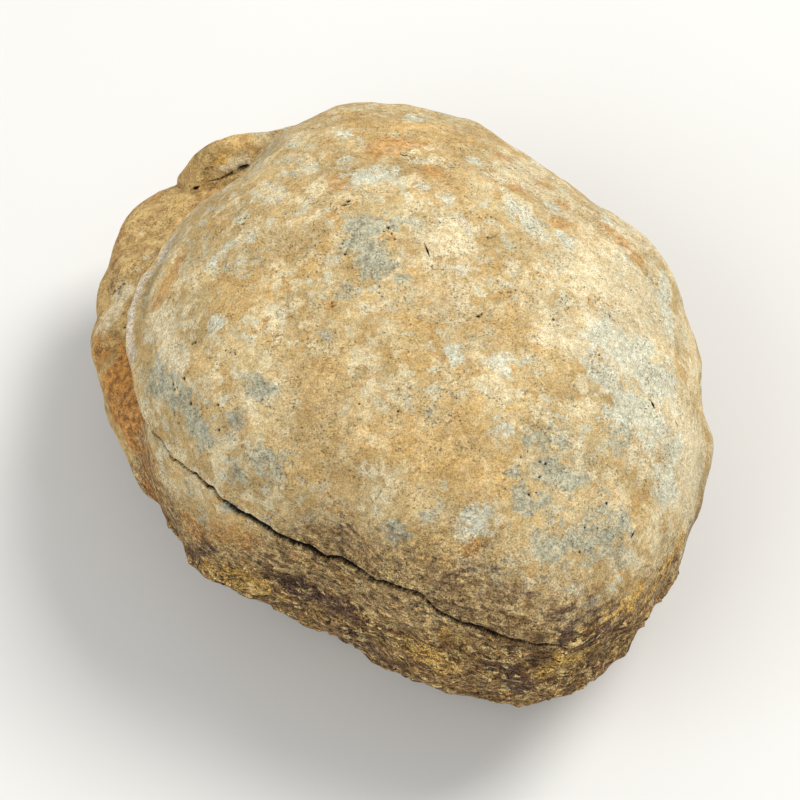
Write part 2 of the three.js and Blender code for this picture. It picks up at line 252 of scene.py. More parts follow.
@dataclass(frozen=True)
class Ring:
    """A smooth closed curve of one quantity against azimuth.

    The rows are pairs of azimuth in degrees and value.
    """

    rows: tuple[Pair, ...]

    @cached_property
    def fine(self) -> tuple[Array, Array]:
        """The curve at close azimuths, from 0 to 360 degrees: the azimuths and the values."""
        azimuth = np.linspace(0.0, 360.0, 1441)
        return azimuth, self.curve(azimuth % 360.0)

    def at(self, azimuth: Array) -> Array:
        """The curve's value at each azimuth in degrees."""
        return np.interp(azimuth, *self.fine)

    def curve(self, azimuth: Array) -> Array:
        """The curve's exact values.

        Args:
            azimuth: azimuths in degrees, from 0 up to 360.

        Returns:
            One value per azimuth.
        """
        rows = sorted((at % 360.0, value) for at, value in self.rows)
        angles = np.array([at for at, _ in rows])
        values = np.array([value for _, value in rows])
        angles = np.concatenate([angles[-2:] - 360.0, angles, angles[:2] + 360.0])
        values = np.concatenate([values[-2:], values, values[:2]])
        slopes = (values[2:] - values[:-2]) / (angles[2:] - angles[:-2])
        index = np.searchsorted(angles[1:-1], azimuth, side="right")
        index = np.clip(index, 1, len(slopes) - 1)
        span = angles[index + 1] - angles[index]
        part = (azimuth - angles[index]) / span
        square = part * part
        cube = square * part
        return (
            (2.0 * cube - 3.0 * square + 1.0) * values[index]
            + (cube - 2.0 * square + part) * span * slopes[index - 1]
            + (3.0 * square - 2.0 * cube) * values[index + 1]
            + (cube - square) * span * slopes[index]
        )


@dataclass(frozen=True)
class Oval:
    """A plain oval seen from above: half its length, half its width, and its turn in degrees."""

    long: float
    short: float
    turn: float

    def radius(self, azimuth: Array) -> Array:
        """The oval's radius at each azimuth in degrees."""
        angle = np.radians(azimuth - self.turn)
        return 1.0 / np.hypot(np.cos(angle) / self.long, np.sin(angle) / self.short)


# ---------------------------------------------------------------------------------------------
# The stone's main forms, the same as its solid's
# ---------------------------------------------------------------------------------------------


@dataclass(frozen=True)
class Body:
    """The rounded body with the dome on top, and the step in below the dome's lip."""

    top: float = 42.0
    foot_depth: float = 0.6
    core_height: float = 17.0
    roundness: float = 2.2
    radius: Ring = Ring(
        (
            (-15, 32.3), (-6, 32.0), (10, 31.5), (24, 31.9), (35, 31.7), (48, 30.5), (63, 30.9),
            (77, 33.2), (90, 34.6), (100, 34.8), (112, 33.7), (128, 32.2), (145, 32.0), (160, 31.8),
            (175, 31.2), (190, 28.2), (200, 26.5), (212, 25.6), (221, 25.6), (232, 24.3), (254, 23.9),
            (270, 27.4), (283, 31.0), (296, 34.8), (308, 34.9), (322, 33.4), (334, 32.6),
        )
    )
    level: Ring = Ring(
        (
            (-15, 18), (-6, 18), (10, 18), (24, 18), (35, 18), (48, 18), (63, 18), (77, 18), (90, 18),
            (100, 18), (112, 17), (128, 14), (145, 12), (160, 11), (175, 11), (190, 16), (200, 18),
            (212, 18), (221, 17), (232, 18), (254, 18), (270, 18), (283, 18), (296, 18), (308, 18),
            (322, 18), (334, 18),
        )
    )
    undercut: Ring = Ring(
        (
            (35, 0), (77, 0), (90, 0), (100, 0), (112, 0), (128, 4), (145, 5), (160, 5), (175, 4),
            (190, 1), (200, 0), (212, 0), (254, 0), (308, 0),
        )
    )
    crown: Oval = Oval(32.5, 28.5, -38.0)
    crown_blend: Pair = (0.4, 1.0)
    axis_blend: Pair = (2.0, 16.0)
    axis_level: float = 16.0
    lip_height: float = 26.0
    lip_softness: float = 1.2

    def form(self, points: Array, azimuth: Array) -> Array:
        """How far each point lies outside the body.

        Args:
            points: places in millimetres.
            azimuth: their azimuths in degrees.

        Returns:
            Rough distances, negative inside.
        """
        height = points[:, 2]
        below = smooth_step(0.0, 1.0, (self.lip_height - height) / self.lip_softness)
        plan = np.hypot(points[:, 0], points[:, 1])
        out = plan + np.maximum(self.undercut.at(azimuth), 0.0) * below
        held = smooth_step(*self.axis_blend, plan)
        level = mix(self.axis_level, self.level.at(azimuth), held)
        rise = height - level
        reach = np.where(rise > 0.0, self.top - level, level + self.foot_depth)
        share = np.abs(rise) / reach
        crown = smooth_step(*self.crown_blend, share)
        radius = mix(self.radius.at(azimuth), self.crown.radius(azimuth), crown)
        power = self.roundness
        scale = ((out / radius) ** power + share**power) ** (1.0 / power)
        return distance_outside(np.hypot(out, height - self.core_height), scale)


@dataclass(frozen=True)
class Ledge:
    """The brown ledge below the lip, widest at the left and back left."""

    level: float = 15.0
    rise: float = 8.5
    drop: float = 15.6
    roundness: Pair = (2.6, 2.2)
    blend: Pair = (0.6, 1.0)
    sole: Oval = Oval(31.0, 26.0, -38.0)
    radius: Ring = Ring(
        (
            (0, 26.0), (60, 26.0), (100, 29.0), (114, 32.5), (123, 36.4), (131, 38.6), (139, 38.4),
            (148, 36.8), (161, 33.9), (172, 32.0), (178, 30.5), (190, 26.6), (205, 24.5), (250, 23.0),
            (300, 26.0),
        )
    )

    def form(self, points: Array, azimuth: Array) -> Array:
        """How far each point lies outside the ledge.

        Args:
            points: places in millimetres.
            azimuth: their azimuths in degrees.

        Returns:
            Rough distances, negative inside.
        """
        out = np.hypot(points[:, 0], points[:, 1])
        rise = points[:, 2] - self.level
        above = rise > 0.0
        reach = np.where(above, self.rise, self.drop)
        power = np.where(above, *self.roundness)
        share = np.abs(rise) / reach
        radius = mix(self.radius.at(azimuth), self.sole.radius(azimuth), smooth_step(*self.blend, share))
        scale = ((out / radius) ** power + share**power) ** (1.0 / power)
        return distance_outside(np.hypot(out, rise), scale)


@dataclass(frozen=True)
class Knob:
    """The angular knob at the back left, bounded by flat facets with worn edges.

    Each facet's row is the azimuth and elevation that it faces, in degrees, and its distance from
    the knob's centre. The inner facet faces the dome.
    """

    centre: Point = (-15.5, 29.3, 18.0)
    facets: tuple[Point, ...] = (
        (10, 84, 6.8), (105, 8, 2.45), (197, 29, 7.7), (30, 10, 8.1), (300, -10, 10.0),
        (120, -70, 9.0), (112, -38, 5.0), (195, -38, 7.5), (60, -32, 5.5),
    )
    inner: tuple[Point, ...] = ((285, 22, 2.6),)
    roundness: float = 14.0

    @staticmethod
    def facing(azimuth: float, elevation: float) -> Array:
        """The direction that a facet faces.

        Args:
            azimuth: its azimuth in degrees.
            elevation: its elevation in degrees.

        Returns:
            The unit direction.
        """
        turn, rise = math.radians(azimuth), math.radians(elevation)
        flat = math.cos(rise)
        return np.array([flat * math.cos(turn), flat * math.sin(turn), math.sin(rise)])

    def form(self, points: Array, whole: bool) -> Array:
        """How far each point lies outside the knob.

        Args:
            points: places in millimetres.
            whole: whether the inner facet counts too.

        Returns:
            Rough distances, negative inside.
        """
        away = points - np.array(self.centre)
        total = np.zeros(len(points))
        for azimuth, elevation, distance in self.facets + (self.inner if whole else ()):
            share = away @ self.facing(azimuth, elevation) / distance
            total += np.maximum(share, 0.0) ** self.roundness
        scale = total ** (1.0 / self.roundness)
        return distance_outside(np.linalg.norm(away, axis=1), scale)


@dataclass(frozen=True)
class Landmark:
    """A hollow or lump that can be told apart: centre, reach and height, a hollow being negative."""

    centre: Point
    reach: float
    height: float

    def lift(self, points: Array) -> Array:
        """How far the landmark lifts each point."""
        far = np.sum((points - np.array(self.centre)) ** 2, axis=1)
        return self.height * np.exp(-far / self.reach**2)


@dataclass(frozen=True)
class StoneForm:
    """The whole stone as one form, and the skin that a ray from its core reaches last."""

    body: Body = Body()
    ledge: Ledge = Ledge()
    knob: Knob = Knob()
    knob_join: float = 0.3
    ledge_join: float = 0.7
    swell: tuple[Layer, ...] = (Layer(0.55, 13.0, 1), Layer(0.3, 6.5, 2, turned=True))
    crust: Layer = Layer(0.55, 4.2, 3)
    crust_edge: Layer = Layer(2.0, 9.0, 5)
    crust_levels: Pair = (14.0, 24.0)
    foot_fade: Pair = (0.5, 4.0)
    reach_out: float = 42.0
    step: float = 0.5
    halvings: int = 15
    near: float = 3.0
    sink_sector: Pair = (100.0, 150.0)
    sink_levels: Pair = (14.0, 26.5)
    sink_plan: float = 24.0
    sink_slack: float = 0.02
    sink_step: float = 0.2
    landmarks: tuple[Landmark, ...] = (
        Landmark((-10, -8, 40), 5.0, -0.5),  # shallow dent in the dome
        Landmark((-8, -16.5, 36), 2.6, -0.35),  # oblique fold, upper end
        Landmark((-5, -19, 34.5), 2.6, -0.45),
        Landmark((-3.5, -22, 30.5), 2.6, -0.35),  # oblique fold, lower end
        Landmark((32, -4, 18.5), 3.2, 0.75),  # bump on the right
        Landmark((31, 0.7, 20), 1.9, -1.1),  # nick above that bump
        Landmark((31, 4.5, 21), 3.2, 0.55),  # corner above that nick
        Landmark((27.5, 15, 24), 4.5, 0.5),  # blunt corner at the back right
        Landmark((19.5, 21.5, 27), 4.5, -0.2),  # flatter slope beside it
        Landmark((12, 25.5, 29), 4.0, 0.25),
        Landmark((21.5, -28, 18.5), 3.2, -0.9),  # flat at the lower right
        Landmark((-22, -15.5, 13), 2.6, 0.7),  # corner at the lower left
        Landmark((-22.3, -14, 16.5), 1.5, -0.4),  # nick above that corner
        Landmark((-27.6, -3.6, 12), 2.6, 0.45),
        Landmark((-29.8, -0.4, 16.4), 2.4, -0.7),
        Landmark((-12, -20.5, 13), 2.4, -1.1),  # nick in the crust, front left
        Landmark((-10.8, -19.4, 11), 3.0, -0.9),
        Landmark((3, -28, 15), 3.0, 0.5),  # crust lump, front
        Landmark((15, -31, 17), 3.0, 0.5),  # crust lump, front right
        Landmark((-28.5, 24.6, 17.6), 3.0, 0.7),  # shoulder of the ledge
        Landmark((-31.5, 14, 18.5), 3.4, -0.9),  # slack in the ledge's rim
        Landmark((-32.2, 9.5, 17.3), 3.0, 0.8),  # swelling of the ledge
        Landmark((-17.5, 27, 21), 4.0, 1.2),  # rise of the ledge towards the knob
        Landmark((-16.2, 24.6, 28), 4.0, -1.0),  # the dome draws in beside the knob
        Landmark((-24.7, 14, 27.5), 3.0, -0.45),
        Landmark((8, 31, 12), 6.5, -0.9),  # scar at the back
        Landmark((26, 13, 8), 6.0, -0.8),  # scar low on the right
        Landmark((-12, -8, 1), 6.0, -0.5),  # hollow on the underside
    )

    def unevenness(self, points: Array) -> Array:
        """How far the uneven skin stands proud of the plain forms.

        Args:
            points: places in millimetres.

        Returns:
            Heights in millimetres.
        """
        height = points[:, 2]
        low = 1.0 - smooth_step(*self.crust_levels, height + self.crust_edge.at(points))
        crust = self.crust.at(points) * low
        marks = sum(mark.lift(points) for mark in self.landmarks)
        return layered(points, self.swell) + crust * smooth_step(*self.foot_fade, height) + marks

    def form(self, points: Array, whole: bool = False) -> Array:
        """How far each point lies outside the stone.

        Args:
            points: places in millimetres.
            whole: whether the space between the knob and the dome counts as open.

        Returns:
            Rough distances, negative inside; the unevenness counts only near the skin.
        """
        azimuth = azimuth_of(points)
        knob = self.knob.form(points, whole)
        low = soft_join(self.ledge.form(points, azimuth), knob, self.knob_join)
        plain = soft_join(self.body.form(points, azimuth), low, self.ledge_join)
        near = np.abs(plain) < self.near
        plain[near] -= self.unevenness(points[near])
        return plain

    @property
    def core(self) -> Array:
        """The place from which every part of the skin is measured."""
        return np.array([0.0, 0.0, self.body.core_height])

    def reach(self, directions: Array, farthest: Array) -> Array:
        """The distance from the core to the outermost skin along each direction.

        Args:
            directions: unit directions.
            farthest: distances that surely lie outside the stone.

        Returns:
            One distance per direction.
        """
        outside = farthest.copy()
        waiting = np.arange(len(directions))
        while len(waiting):
            closer = outside[waiting] - self.step
            values = self.form(self.core + directions[waiting] * closer[:, None])
            waiting = waiting[(values > 0.0) & (closer > self.step)]
            outside[waiting] -= self.step
        inside = outside - self.step
        for _ in range(self.halvings):
            middle = (inside + outside) / 2.0
            hollow = self.form(self.core + directions * middle[:, None]) > 0.0
            outside = np.where(hollow, middle, outside)
            inside = np.where(hollow, inside, middle)
        return inside

    def skin(self, directions: Array, farthest: Array | None = None) -> Array:
        """The skin along each direction from the core, cut off flat at the floor.

        Args:
            directions: unit directions.
            farthest: distances that surely lie outside the stone, where they are known.

        Returns:
            Places in millimetres.
        """
        if farthest is None:
            farthest = np.full(len(directions), self.reach_out)
        distance = self.reach(directions, farthest)
        down = np.minimum(directions[:, 2], -LEVEL)
        floor = np.where(directions[:, 2] < 0.0, -self.body.core_height / down, np.inf)
        points = self.core + directions * np.minimum(distance, floor)[:, None]
        points[floor < distance, 2] = 0.0
        return self.settle(points)

    def settle(self, points: Array) -> Array:
        """Lets the places between the knob and the dome sink straight down to the ledge.

        Args:
            points: places on the skin without the knob's inner facet.

        Returns:
            The places on the whole skin.
        """
        azimuth = azimuth_of(points)
        plan = np.hypot(points[:, 0], points[:, 1])
        beside = (azimuth > self.sink_sector[0]) & (azimuth < self.sink_sector[1]) & (plan > self.sink_plan)
        beside &= (points[:, 2] > self.sink_levels[0]) & (points[:, 2] < self.sink_levels[1])
        chosen = np.flatnonzero(beside)
        chosen = chosen[self.form(points[chosen], True) > self.sink_slack]
        if not len(chosen):
            return points
        low = points[chosen]
        waiting = np.arange(len(chosen))
        while len(waiting):
            low[waiting, 2] -= self.sink_step
            waiting = waiting[self.form(low[waiting], True) > 0.0]
        high = low + np.array([0.0, 0.0, self.sink_step])
        for _ in range(self.halvings):
            middle = (low + high) / 2.0
            inside = self.form(middle, True)[:, None] <= 0.0
            low = np.where(inside, middle, low)
            high = np.where(inside, high, middle)
        points[chosen] = low
        return points


# ---------------------------------------------------------------------------------------------
# The mesh of the skin
# ---------------------------------------------------------------------------------------------


@dataclass
class SkinMesh:
    """Triangles over the stone, with each corner's place on one flat square map.

    The square folds down over the stone like a kerchief of even area, so that its middle is the
    top of the dome and its four corners meet at the foot.
    """

    form: StoneForm
    cells: int = 72
    directions: Array = field(default_factory=lambda: np.empty((0, 3)))
    points: Array = field(default_factory=lambda: np.empty((0, 3)))
    faces: Array = field(default_factory=lambda: np.empty((0, 3), int))
    corners: Array = field(default_factory=lambda: np.empty((0, 3, 2)))
    untried: Array = field(default_factory=lambda: np.empty(0, bool))
    spare: float = 3.0
    sheer: float = 0.3

    @staticmethod
    def fold(square: Array) -> Array:
        """Folds the even square round the unit sphere.

        Args:
            square: places from 0 to 1 each way.

        Returns:
            Unit directions.
        """
        signed = 2.0 * square - 1.0
        across = np.abs(signed)
        over = 1.0 - across.sum(axis=1)
        ring = 1.0 - np.abs(over)
        safe = np.maximum(ring, LEAST_LENGTH)
        angle = np.where(ring < LEAST_LENGTH, 1.0, (across[:, 1] - across[:, 0]) / safe + 1.0)
        angle = angle * math.pi / 4.0
        flat = ring * np.sqrt(np.maximum(2.0 - ring**2, 0.0))
        east = np.where(signed[:, 0] < 0.0, -1.0, 1.0) * np.cos(angle) * flat
        north = np.where(signed[:, 1] < 0.0, -1.0, 1.0) * np.sin(angle) * flat
        up = np.where(over < 0.0, -1.0, 1.0) * (1.0 - ring**2)
        return np.stack([east, north, up], axis=1)

    def lay(self) -> None:
        """Lays the even starting grid over the stone and finds its skin."""
        count = self.cells
        steps = np.arange(count + 1) / count
        square = np.stack(np.meshgrid(steps, steps, indexing="ij"), axis=-1).reshape(-1, 2)
        directions = self.fold(square)
        keys, first, index = np.unique(
            np.round(directions, 6) + 0.0, axis=0, return_index=True, return_inverse=True
        )
        row, column = np.meshgrid(np.arange(count), np.arange(count), indexing="ij")
        a = (row * (count + 1) + column).ravel()
        b = a + count + 1
        slant = ((row < count // 2) == (column < count // 2)).ravel()
        quads = np.stack([a, b, b + 1, a + 1], axis=1)
        one = np.where(slant[:, None], quads[:, [0, 1, 3]], quads[:, [0, 1, 2]])
        two = np.where(slant[:, None], quads[:, [1, 2, 3]], quads[:, [0, 2, 3]])
        loose = np.concatenate([one, two])
        self.directions = directions[first]
        self.faces = index.reshape(-1)[loose]
        self.corners = square[loose]
        self.untried = np.ones(len(loose), bool)
        self.points = self.form.skin(self.directions)
        LOG.info("starting grid: %d triangles over %d places", len(self.faces), len(keys))

    def edges(self) -> tuple[Array, Array]:
        """The mesh's edges.

        Returns:
            The two ends of each edge, and the number of each face's three edges.
        """
        count = len(self.points)
        ends = np.sort(self.faces[:, [[0, 1], [1, 2], [2, 0]]].reshape(-1, 2), axis=1)
        keys, index = np.unique(ends[:, 0] * count + ends[:, 1], return_inverse=True)
        return np.stack([keys // count, keys % count], axis=1), index.reshape(-1, 3)

    def refine(self, wanted: Callable[[Array], Array], rounds: int) -> None:
        """Splits long edges, and always a face's longest first, so that faces stay well shaped.

        Args:
            wanted: gives the longest edge that is wanted at each of an array of places.
            rounds: the most times to go over the mesh.
        """
        for _ in range(rounds):
            ends, of_face = self.edges()
            first, second = self.points[ends[:, 0]], self.points[ends[:, 1]]
            length = np.linalg.norm(first - second, axis=1)
            new = np.unique(of_face[self.untried])
            limit = wanted((first[new] + second[new]) / 2.0)
            apart = np.linalg.norm(np.diff(self.directions[ends[new]], axis=1)[:, 0], axis=1)
            sheer = apart * self.form.body.core_height < self.sheer * limit
            split = np.zeros(len(ends), bool)
            split[new] = (length[new] > limit) & ~sheer
            if not split.any():
                return
            longest = np.argmax(length[of_face], axis=1)
            key = of_face[np.arange(len(of_face)), longest]
            while True:
                touched = split[of_face].any(axis=1) & ~split[key]
                if not touched.any():
                    break
                split[key[touched]] = True
            self.split(ends, of_face, longest, split)

    def split(self, ends: Array, of_face: Array, longest: Array, split: Array) -> None:
        """Halves the chosen edges and divides the faces on them.

        Args:
            ends: the two ends of each edge.
            of_face: the number of each face's three edges.
            longest: which of a face's edges is its longest.
            split: whether each edge is halved.
        """
        chosen = np.flatnonzero(split)
        middle = np.full(len(ends), -1)
        middle[chosen] = len(self.points) + np.arange(len(chosen))
        halfway = self.directions[ends[chosen, 0]] + self.directions[ends[chosen, 1]]
        halfway /= np.linalg.norm(halfway, axis=1, keepdims=True)
        far = np.linalg.norm(self.points[ends[chosen]] - self.form.core, axis=2).max(axis=1)
        found = self.form.skin(halfway, far + self.spare)
        self.directions = np.concatenate([self.directions, halfway])
        self.points = np.concatenate([self.points, found])

        order = (longest[:, None] + np.arange(3)) % 3
        face = np.take_along_axis(self.faces, order, axis=1)
        place = np.take_along_axis(self.corners, order[:, :, None], axis=1)
        edge = middle[np.take_along_axis(of_face, order, axis=1)]
        marked = edge >= 0
        p0, p1, p2 = place[:, 0], place[:, 1], place[:, 2]
        names = {"a": face[:, 0], "b": face[:, 1], "c": face[:, 2]}
        names |= {"m": edge[:, 0], "n": edge[:, 1], "k": edge[:, 2]}
        places = {"a": p0, "b": p1, "c": p2}
        places |= {"m": (p0 + p1) / 2.0, "n": (p1 + p2) / 2.0, "k": (p2 + p0) / 2.0}
        whole = ~marked[:, 0]
        left = marked[:, 0] & marked[:, 2]
        right = marked[:, 0] & marked[:, 1]
        parts = [
            (whole, "abc"),
            (marked[:, 0] & ~marked[:, 2], "amc"),
            (left, "amk"),
            (left, "kmc"),
            (marked[:, 0] & ~marked[:, 1], "mbc"),
            (right, "mbn"),
            (right, "mnc"),
        ]
        faces, corners = [], []
        for where, letters in parts:
            faces.append(np.stack([names[letter][where] for letter in letters], axis=1))
            corners.append(np.stack([places[letter][where] for letter in letters], axis=1))
        self.faces = np.concatenate(faces)
        self.corners = np.concatenate(corners)
        self.untried = np.arange(len(self.faces)) >= np.count_nonzero(whole)

    def normals(self) -> Array:
        """The skin's outward direction at each place, averaged over the faces round it.

        Returns:
            One unit direction per place.
        """
        triangle = self.points[self.faces]
        area = np.cross(triangle[:, 1] - triangle[:, 0], triangle[:, 2] - triangle[:, 0])
        total = np.zeros_like(self.points)
        for axis in range(3):
            for corner in range(3):
                total[:, axis] += np.bincount(self.faces[:, corner], area[:, axis], len(self.points))
        return total / np.maximum(np.linalg.norm(total, axis=1, keepdims=True), LEAST_LENGTH)


# ---------------------------------------------------------------------------------------------
# What is cut into the skin or stands on it
# ---------------------------------------------------------------------------------------------


@dataclass(frozen=True)
class Fissure:
    """An open crack: its line round the wall, how wide it gapes and how deep it goes.

    The line's rows are pairs of azimuth in degrees and height in millimetres, and the widths' rows
    are pairs of azimuth and width.
    """

    line: tuple[Pair, ...]
    widths: tuple[Pair, ...]
    depth: float
    wander: tuple[Layer, ...] = (Layer(0.26, 2.6, 20), Layer(0.16, 1.0, 21), Layer(0.09, 0.5, 22))
    gape: tuple[Layer, ...] = (Layer(0.25, 1.9, 25), Layer(0.12, 0.6, 26))
    reach: float = 26.0
    bevel: float = 0.10
    wear: float = 0.08  # how deep the edges are worn beside the cut
    steepness: float = 3.0  # how steep the cut's walls are
    full_depth: float = 0.22  # the half width from which the cut is fully deep
    closed: float = -0.2  # the half width that stands for no gap
    least: float = 0.02  # the least half width that the walls are measured with
    band: float = 2.0  # how far from the line the mesh may be finer
    rim: float = 0.15  # how far past the gap's edge the mesh stays finest

    def round_line(self, azimuth: Array) -> Array:
        """Places on a plain circle, from which the crack's small irregularities are read."""
        angle = np.radians(azimuth)
        return self.reach * np.stack([np.cos(angle), np.sin(angle), 0.0 * angle], axis=1)

    def away(self, points: Array) -> tuple[Array, Array]:
        """How far each place lies above the crack's line, and half the gap there.

        Args:
            points: places in millimetres.

        Returns:
            Heights above the line, and half widths, which are below 0 past the crack's ends.
        """
        azimuth = azimuth_of(points)
        places = self.round_line(azimuth)
        rows = np.array(self.line)
        height = np.interp(azimuth, rows[:, 0], rows[:, 1])
        height = layered(places, self.wander, height)
        widths = np.array(self.widths)
        half = 0.5 * np.interp(azimuth, widths[:, 0], widths[:, 1]) * layered(places, self.gape, 1.0)
        between_ends = (azimuth > rows[0, 0]) & (azimuth < rows[-1, 0])
        return points[:, 2] - height, np.where(between_ends, half, self.closed)

    def cut(self, points: Array) -> Array:
        """The depth of the cut at each place.

        Args:
            points: places in millimetres.

        Returns:
            Depths in millimetres.
        """
        above, half = self.away(points)
        gap = half > 0.0
        share = np.abs(above) / np.maximum(half, self.least)
        wall = np.clip((1.0 - share) * self.steepness, 0.0, 1.0)
        worn = self.wear * np.exp(-((np.abs(above) / (half + self.bevel)) ** 2))
        return (self.depth * wall * np.minimum(half / self.full_depth, 1.0) ** 2 + worn) * gap

    def fineness(self, points: Array, finest: float, slope: float) -> Array:
        """The longest edge wanted near the crack.

        Args:
            points: places in millimetres.
            finest: the longest edge wanted on the crack.
            slope: how much longer edges may be per millimetre away from it.

        Returns:
            Lengths in millimetres.
        """
        rows = np.array(self.line)
        azimuth = azimuth_of(points)
        rough = np.abs(points[:, 2] - np.interp(azimuth, rows[:, 0], rows[:, 1]))
        near = (rough < self.band) & (azimuth > rows[0, 0]) & (azimuth < rows[-1, 0])
        wanted = np.full(len(points), finest + slope * self.band)
        above, half = self.away(points[near])
        wanted[near] = finest + slope * np.maximum(np.abs(above) - half - self.rim, 0.0)
        return wanted


@dataclass(frozen=True)
class Slit:
    """A wedge-shaped opening under a facet, which narrows to nothing at its start.

    The cut goes its own way into the stone instead of straight down from the skin.
    """

    start: Point
    end: Point
    half_width: float
    depth: float
    way: Point
    narrowest: float = 0.25  # the start's share of the full width
    sway: tuple[Layer, ...] = (Layer(0.2, 1.1, 35),)
    steepness: float = 3.0  # how steep the cut's walls are
    darkness: float = 1.35  # how dark the painted shade is in the middle
    rim: float = 1.5  # how far out the mesh stays finest, in half widths

    def share(self, points: Array) -> Array:
        """How far each place is from the opening's middle line.

        Args:
            points: places in millimetres.

        Returns:
            Distances, 1 at the opening's edge.
        """
        part, far = from_line(points, self.start, self.end)
        widening = self.narrowest + (1.0 - self.narrowest) * part
        return far / (self.half_width * widening * layered(points, self.sway, 1.0))

    def shift(self, points: Array) -> Array:
        """How the cut moves each place.

        Args:
            points: places in millimetres.

        Returns:
            Moves in millimetres.
        """
        deep = self.depth * np.clip((1.0 - self.share(points)) * self.steepness, 0.0, 1.0)
        return deep[:, None] * np.array(self.way)

    def shade(self, points: Array) -> Array:
        """The painted shade in the cut at each place."""
        return self.darkness - self.share(points)

    def fineness(self, points: Array, finest: float, slope: float) -> Array:
        """The longest edge wanted near the opening: the finest in it, longer away from it."""
        return finest + slope * np.maximum(self.share(points) - self.rim, 0.0) * self.half_width


@dataclass(frozen=True)
class Hairline:
    """A fine straight cut or scratch between two places on the skin."""

    start: Point
    end: Point
    half_width: float
    depth: float
    taper: float = 0.75  # how much narrower the ends are than the middle
    sway: tuple[Layer, ...] = (Layer(0.5, 0.7, 31),)
    shadow_depth: float = 0.3  # the depth from which the line is fully dark
    darkness: Pair = (1.75, 1.5)  # the painted shade in the middle, and its fall over a half width
    rim: float = 1.6  # how far out the mesh stays finest, in half widths
    catch: float = 4.5  # how far from its start the line can touch the mesh

    def share(self, points: Array) -> Array:
        """How far each place is from the line, in half widths.

        Args:
            points: places in millimetres.

        Returns:
            Distances, 1 at the line's edge.
        """
        part, far = from_line(points, self.start, self.end)
        taper = 1.0 - self.taper * np.abs(2.0 * part - 1.0)
        return far / (self.half_width * taper * layered(points, self.sway, 1.0))

    def shade(self, share: Array) -> Array:
        """The painted shade of the line at each distance from it; a shallow line is painted fainter."""
        middle, fall = self.darkness
        return np.minimum(middle - fall * share, min(self.depth / self.shadow_depth, 1.0))


@dataclass(frozen=True)
class PitCluster:
    """A group of small pits: its middle, how far it spreads, how many and about how large they are."""

    centre: Point
    spread: float
    count: int
    radius: float


@dataclass(frozen=True)
class Pit:
    """One small pit: its place, radius and depth."""

    place: Array
    radius: float
    depth: float
    uneven: Point = (0.7, 1.3, 33)  # swing, size in radii, and seed
    darkness: Pair = (0.80, 0.6)  # the painted shade in the middle, and its fall over a radius
    catch: float = 1.4  # how far from its middle the mesh may be finer
    rim: float = 1.2  # how far out the mesh stays finest, in radii

    def near(self, points: Array, reach: float) -> Array:
        """The numbers of the places within a reach of the pit along every axis."""
        return np.flatnonzero(np.abs(points - self.place).max(axis=1) < reach)

    def share(self, points: Array) -> Array:
        """How far each place is from the pit's middle.

        Args:
            points: places in millimetres.

        Returns:
            Distances, 1 at the pit's uneven edge.
        """
        swing, size, seed = self.uneven
        edge = 1.0 + swing * relief(points, self.radius * size, seed)
        return np.linalg.norm(points - self.place, axis=1) / (self.radius * edge)

    def shade(self, share: Array) -> Array:
        """The painted shade of the pit at each distance from its middle."""
        middle, fall = self.darkness
        return middle - fall * share


class Tint(Enum):
    """The stains and bare places that the skin can carry; each is kept as one mask on the mesh."""

    OCHRE = "ochre"
    ORANGE = "orange"
    PALE = "pale"
    MIST = "mist"
    BLUE = "blue_grey"
    FLANK = "flank"
    TAN = "tan"
    RUST = "rust"
    CRUST = "crust"
    PURPLE = "purple"
    YELLOW = "yellow"
    LILAC = "lilac"


class Mark(Enum):
    """What else the mesh tells the finish.

    The painted shade in the slit, the hairlines and the pits; how high the fine relief stands, which the
    finish turns into painted shade where it is low; how far a place lies above the crack's line, and
    half the crack's width there, both in millimetres, which place the crack's painted shade.
    """

    GAP = "gap"
    STAND = "stand"
    ABOVE = "above_crack"
    HALF = "half_width"


@dataclass(frozen=True)
class Spot:
    """One stained place: its middle or its middle line's two ends, its reach and its strength."""

    start: Point
    reach: float
    strength: float = 1.0
    end: Point | None = None
    edge: Pair = (0.1, 1.5)  # where the spot starts to fade and ends, in reaches

    def cover(self, points: Array, warp: Array) -> Array:
        """How much the spot covers each place.

        Args:
            points: places in millimetres.
            warp: how far the spot's edge wanders at each place, in reaches.

        Returns:
            Shares from 0 to the spot's strength.
        """
        _, away = from_line(points, self.start, self.end or self.start)
        return self.strength * (1.0 - smooth_step(*self.edge, away / self.reach + warp))


@dataclass(frozen=True)
class Lip:
    """The dome's overhanging edge on the left: a thin raised rim and a narrow recess inside it."""

    height: float = 26.0
    sector: Pair = (126.0, 187.0)
    rim: Point = (0.7, 0.6, 0.25)
    recess: Point = (2.6, 0.9, -0.45)
    recess_sector: Pair = (148.0, 172.0)
    fades: Pair = (12.0, 9.0)
    wave: Layer = Layer(0.6, 5.0, 41)

    @staticmethod
    def within(azimuth: Array, sector: Pair, fade: float) -> Array:
        """A share that is 1 inside a sector and fades out at its two ends.

        Args:
            azimuth: azimuths in degrees.
            sector: the sector's two ends.
            fade: how many degrees the fading takes.

        Returns:
            Shares from 0 to 1.
        """
        rising = smooth_step(sector[0], sector[0] + fade, azimuth)
        return rising * (1.0 - smooth_step(sector[1] - fade, sector[1], azimuth))

    def lift(self, points: Array) -> Array:
        """How far the rim and the recess lift each place.

        Args:
            points: places on the skin.

        Returns:
            Heights in millimetres.
        """
        azimuth = azimuth_of(points)
        rise = points[:, 2] - self.height - self.wave.at(points)
        total = np.zeros(len(points))
        bands = ((self.rim, self.sector), (self.recess, self.recess_sector))
        for ((level, reach, lift), sector), fade in zip(bands, self.fades):
            band = lift * np.exp(-(((rise - level) / reach) ** 2))
            total = total + band * self.within(azimuth, sector, fade)
        return total


# ---------------------------------------------------------------------------------------------
# Node sheets and finishes
# ---------------------------------------------------------------------------------------------

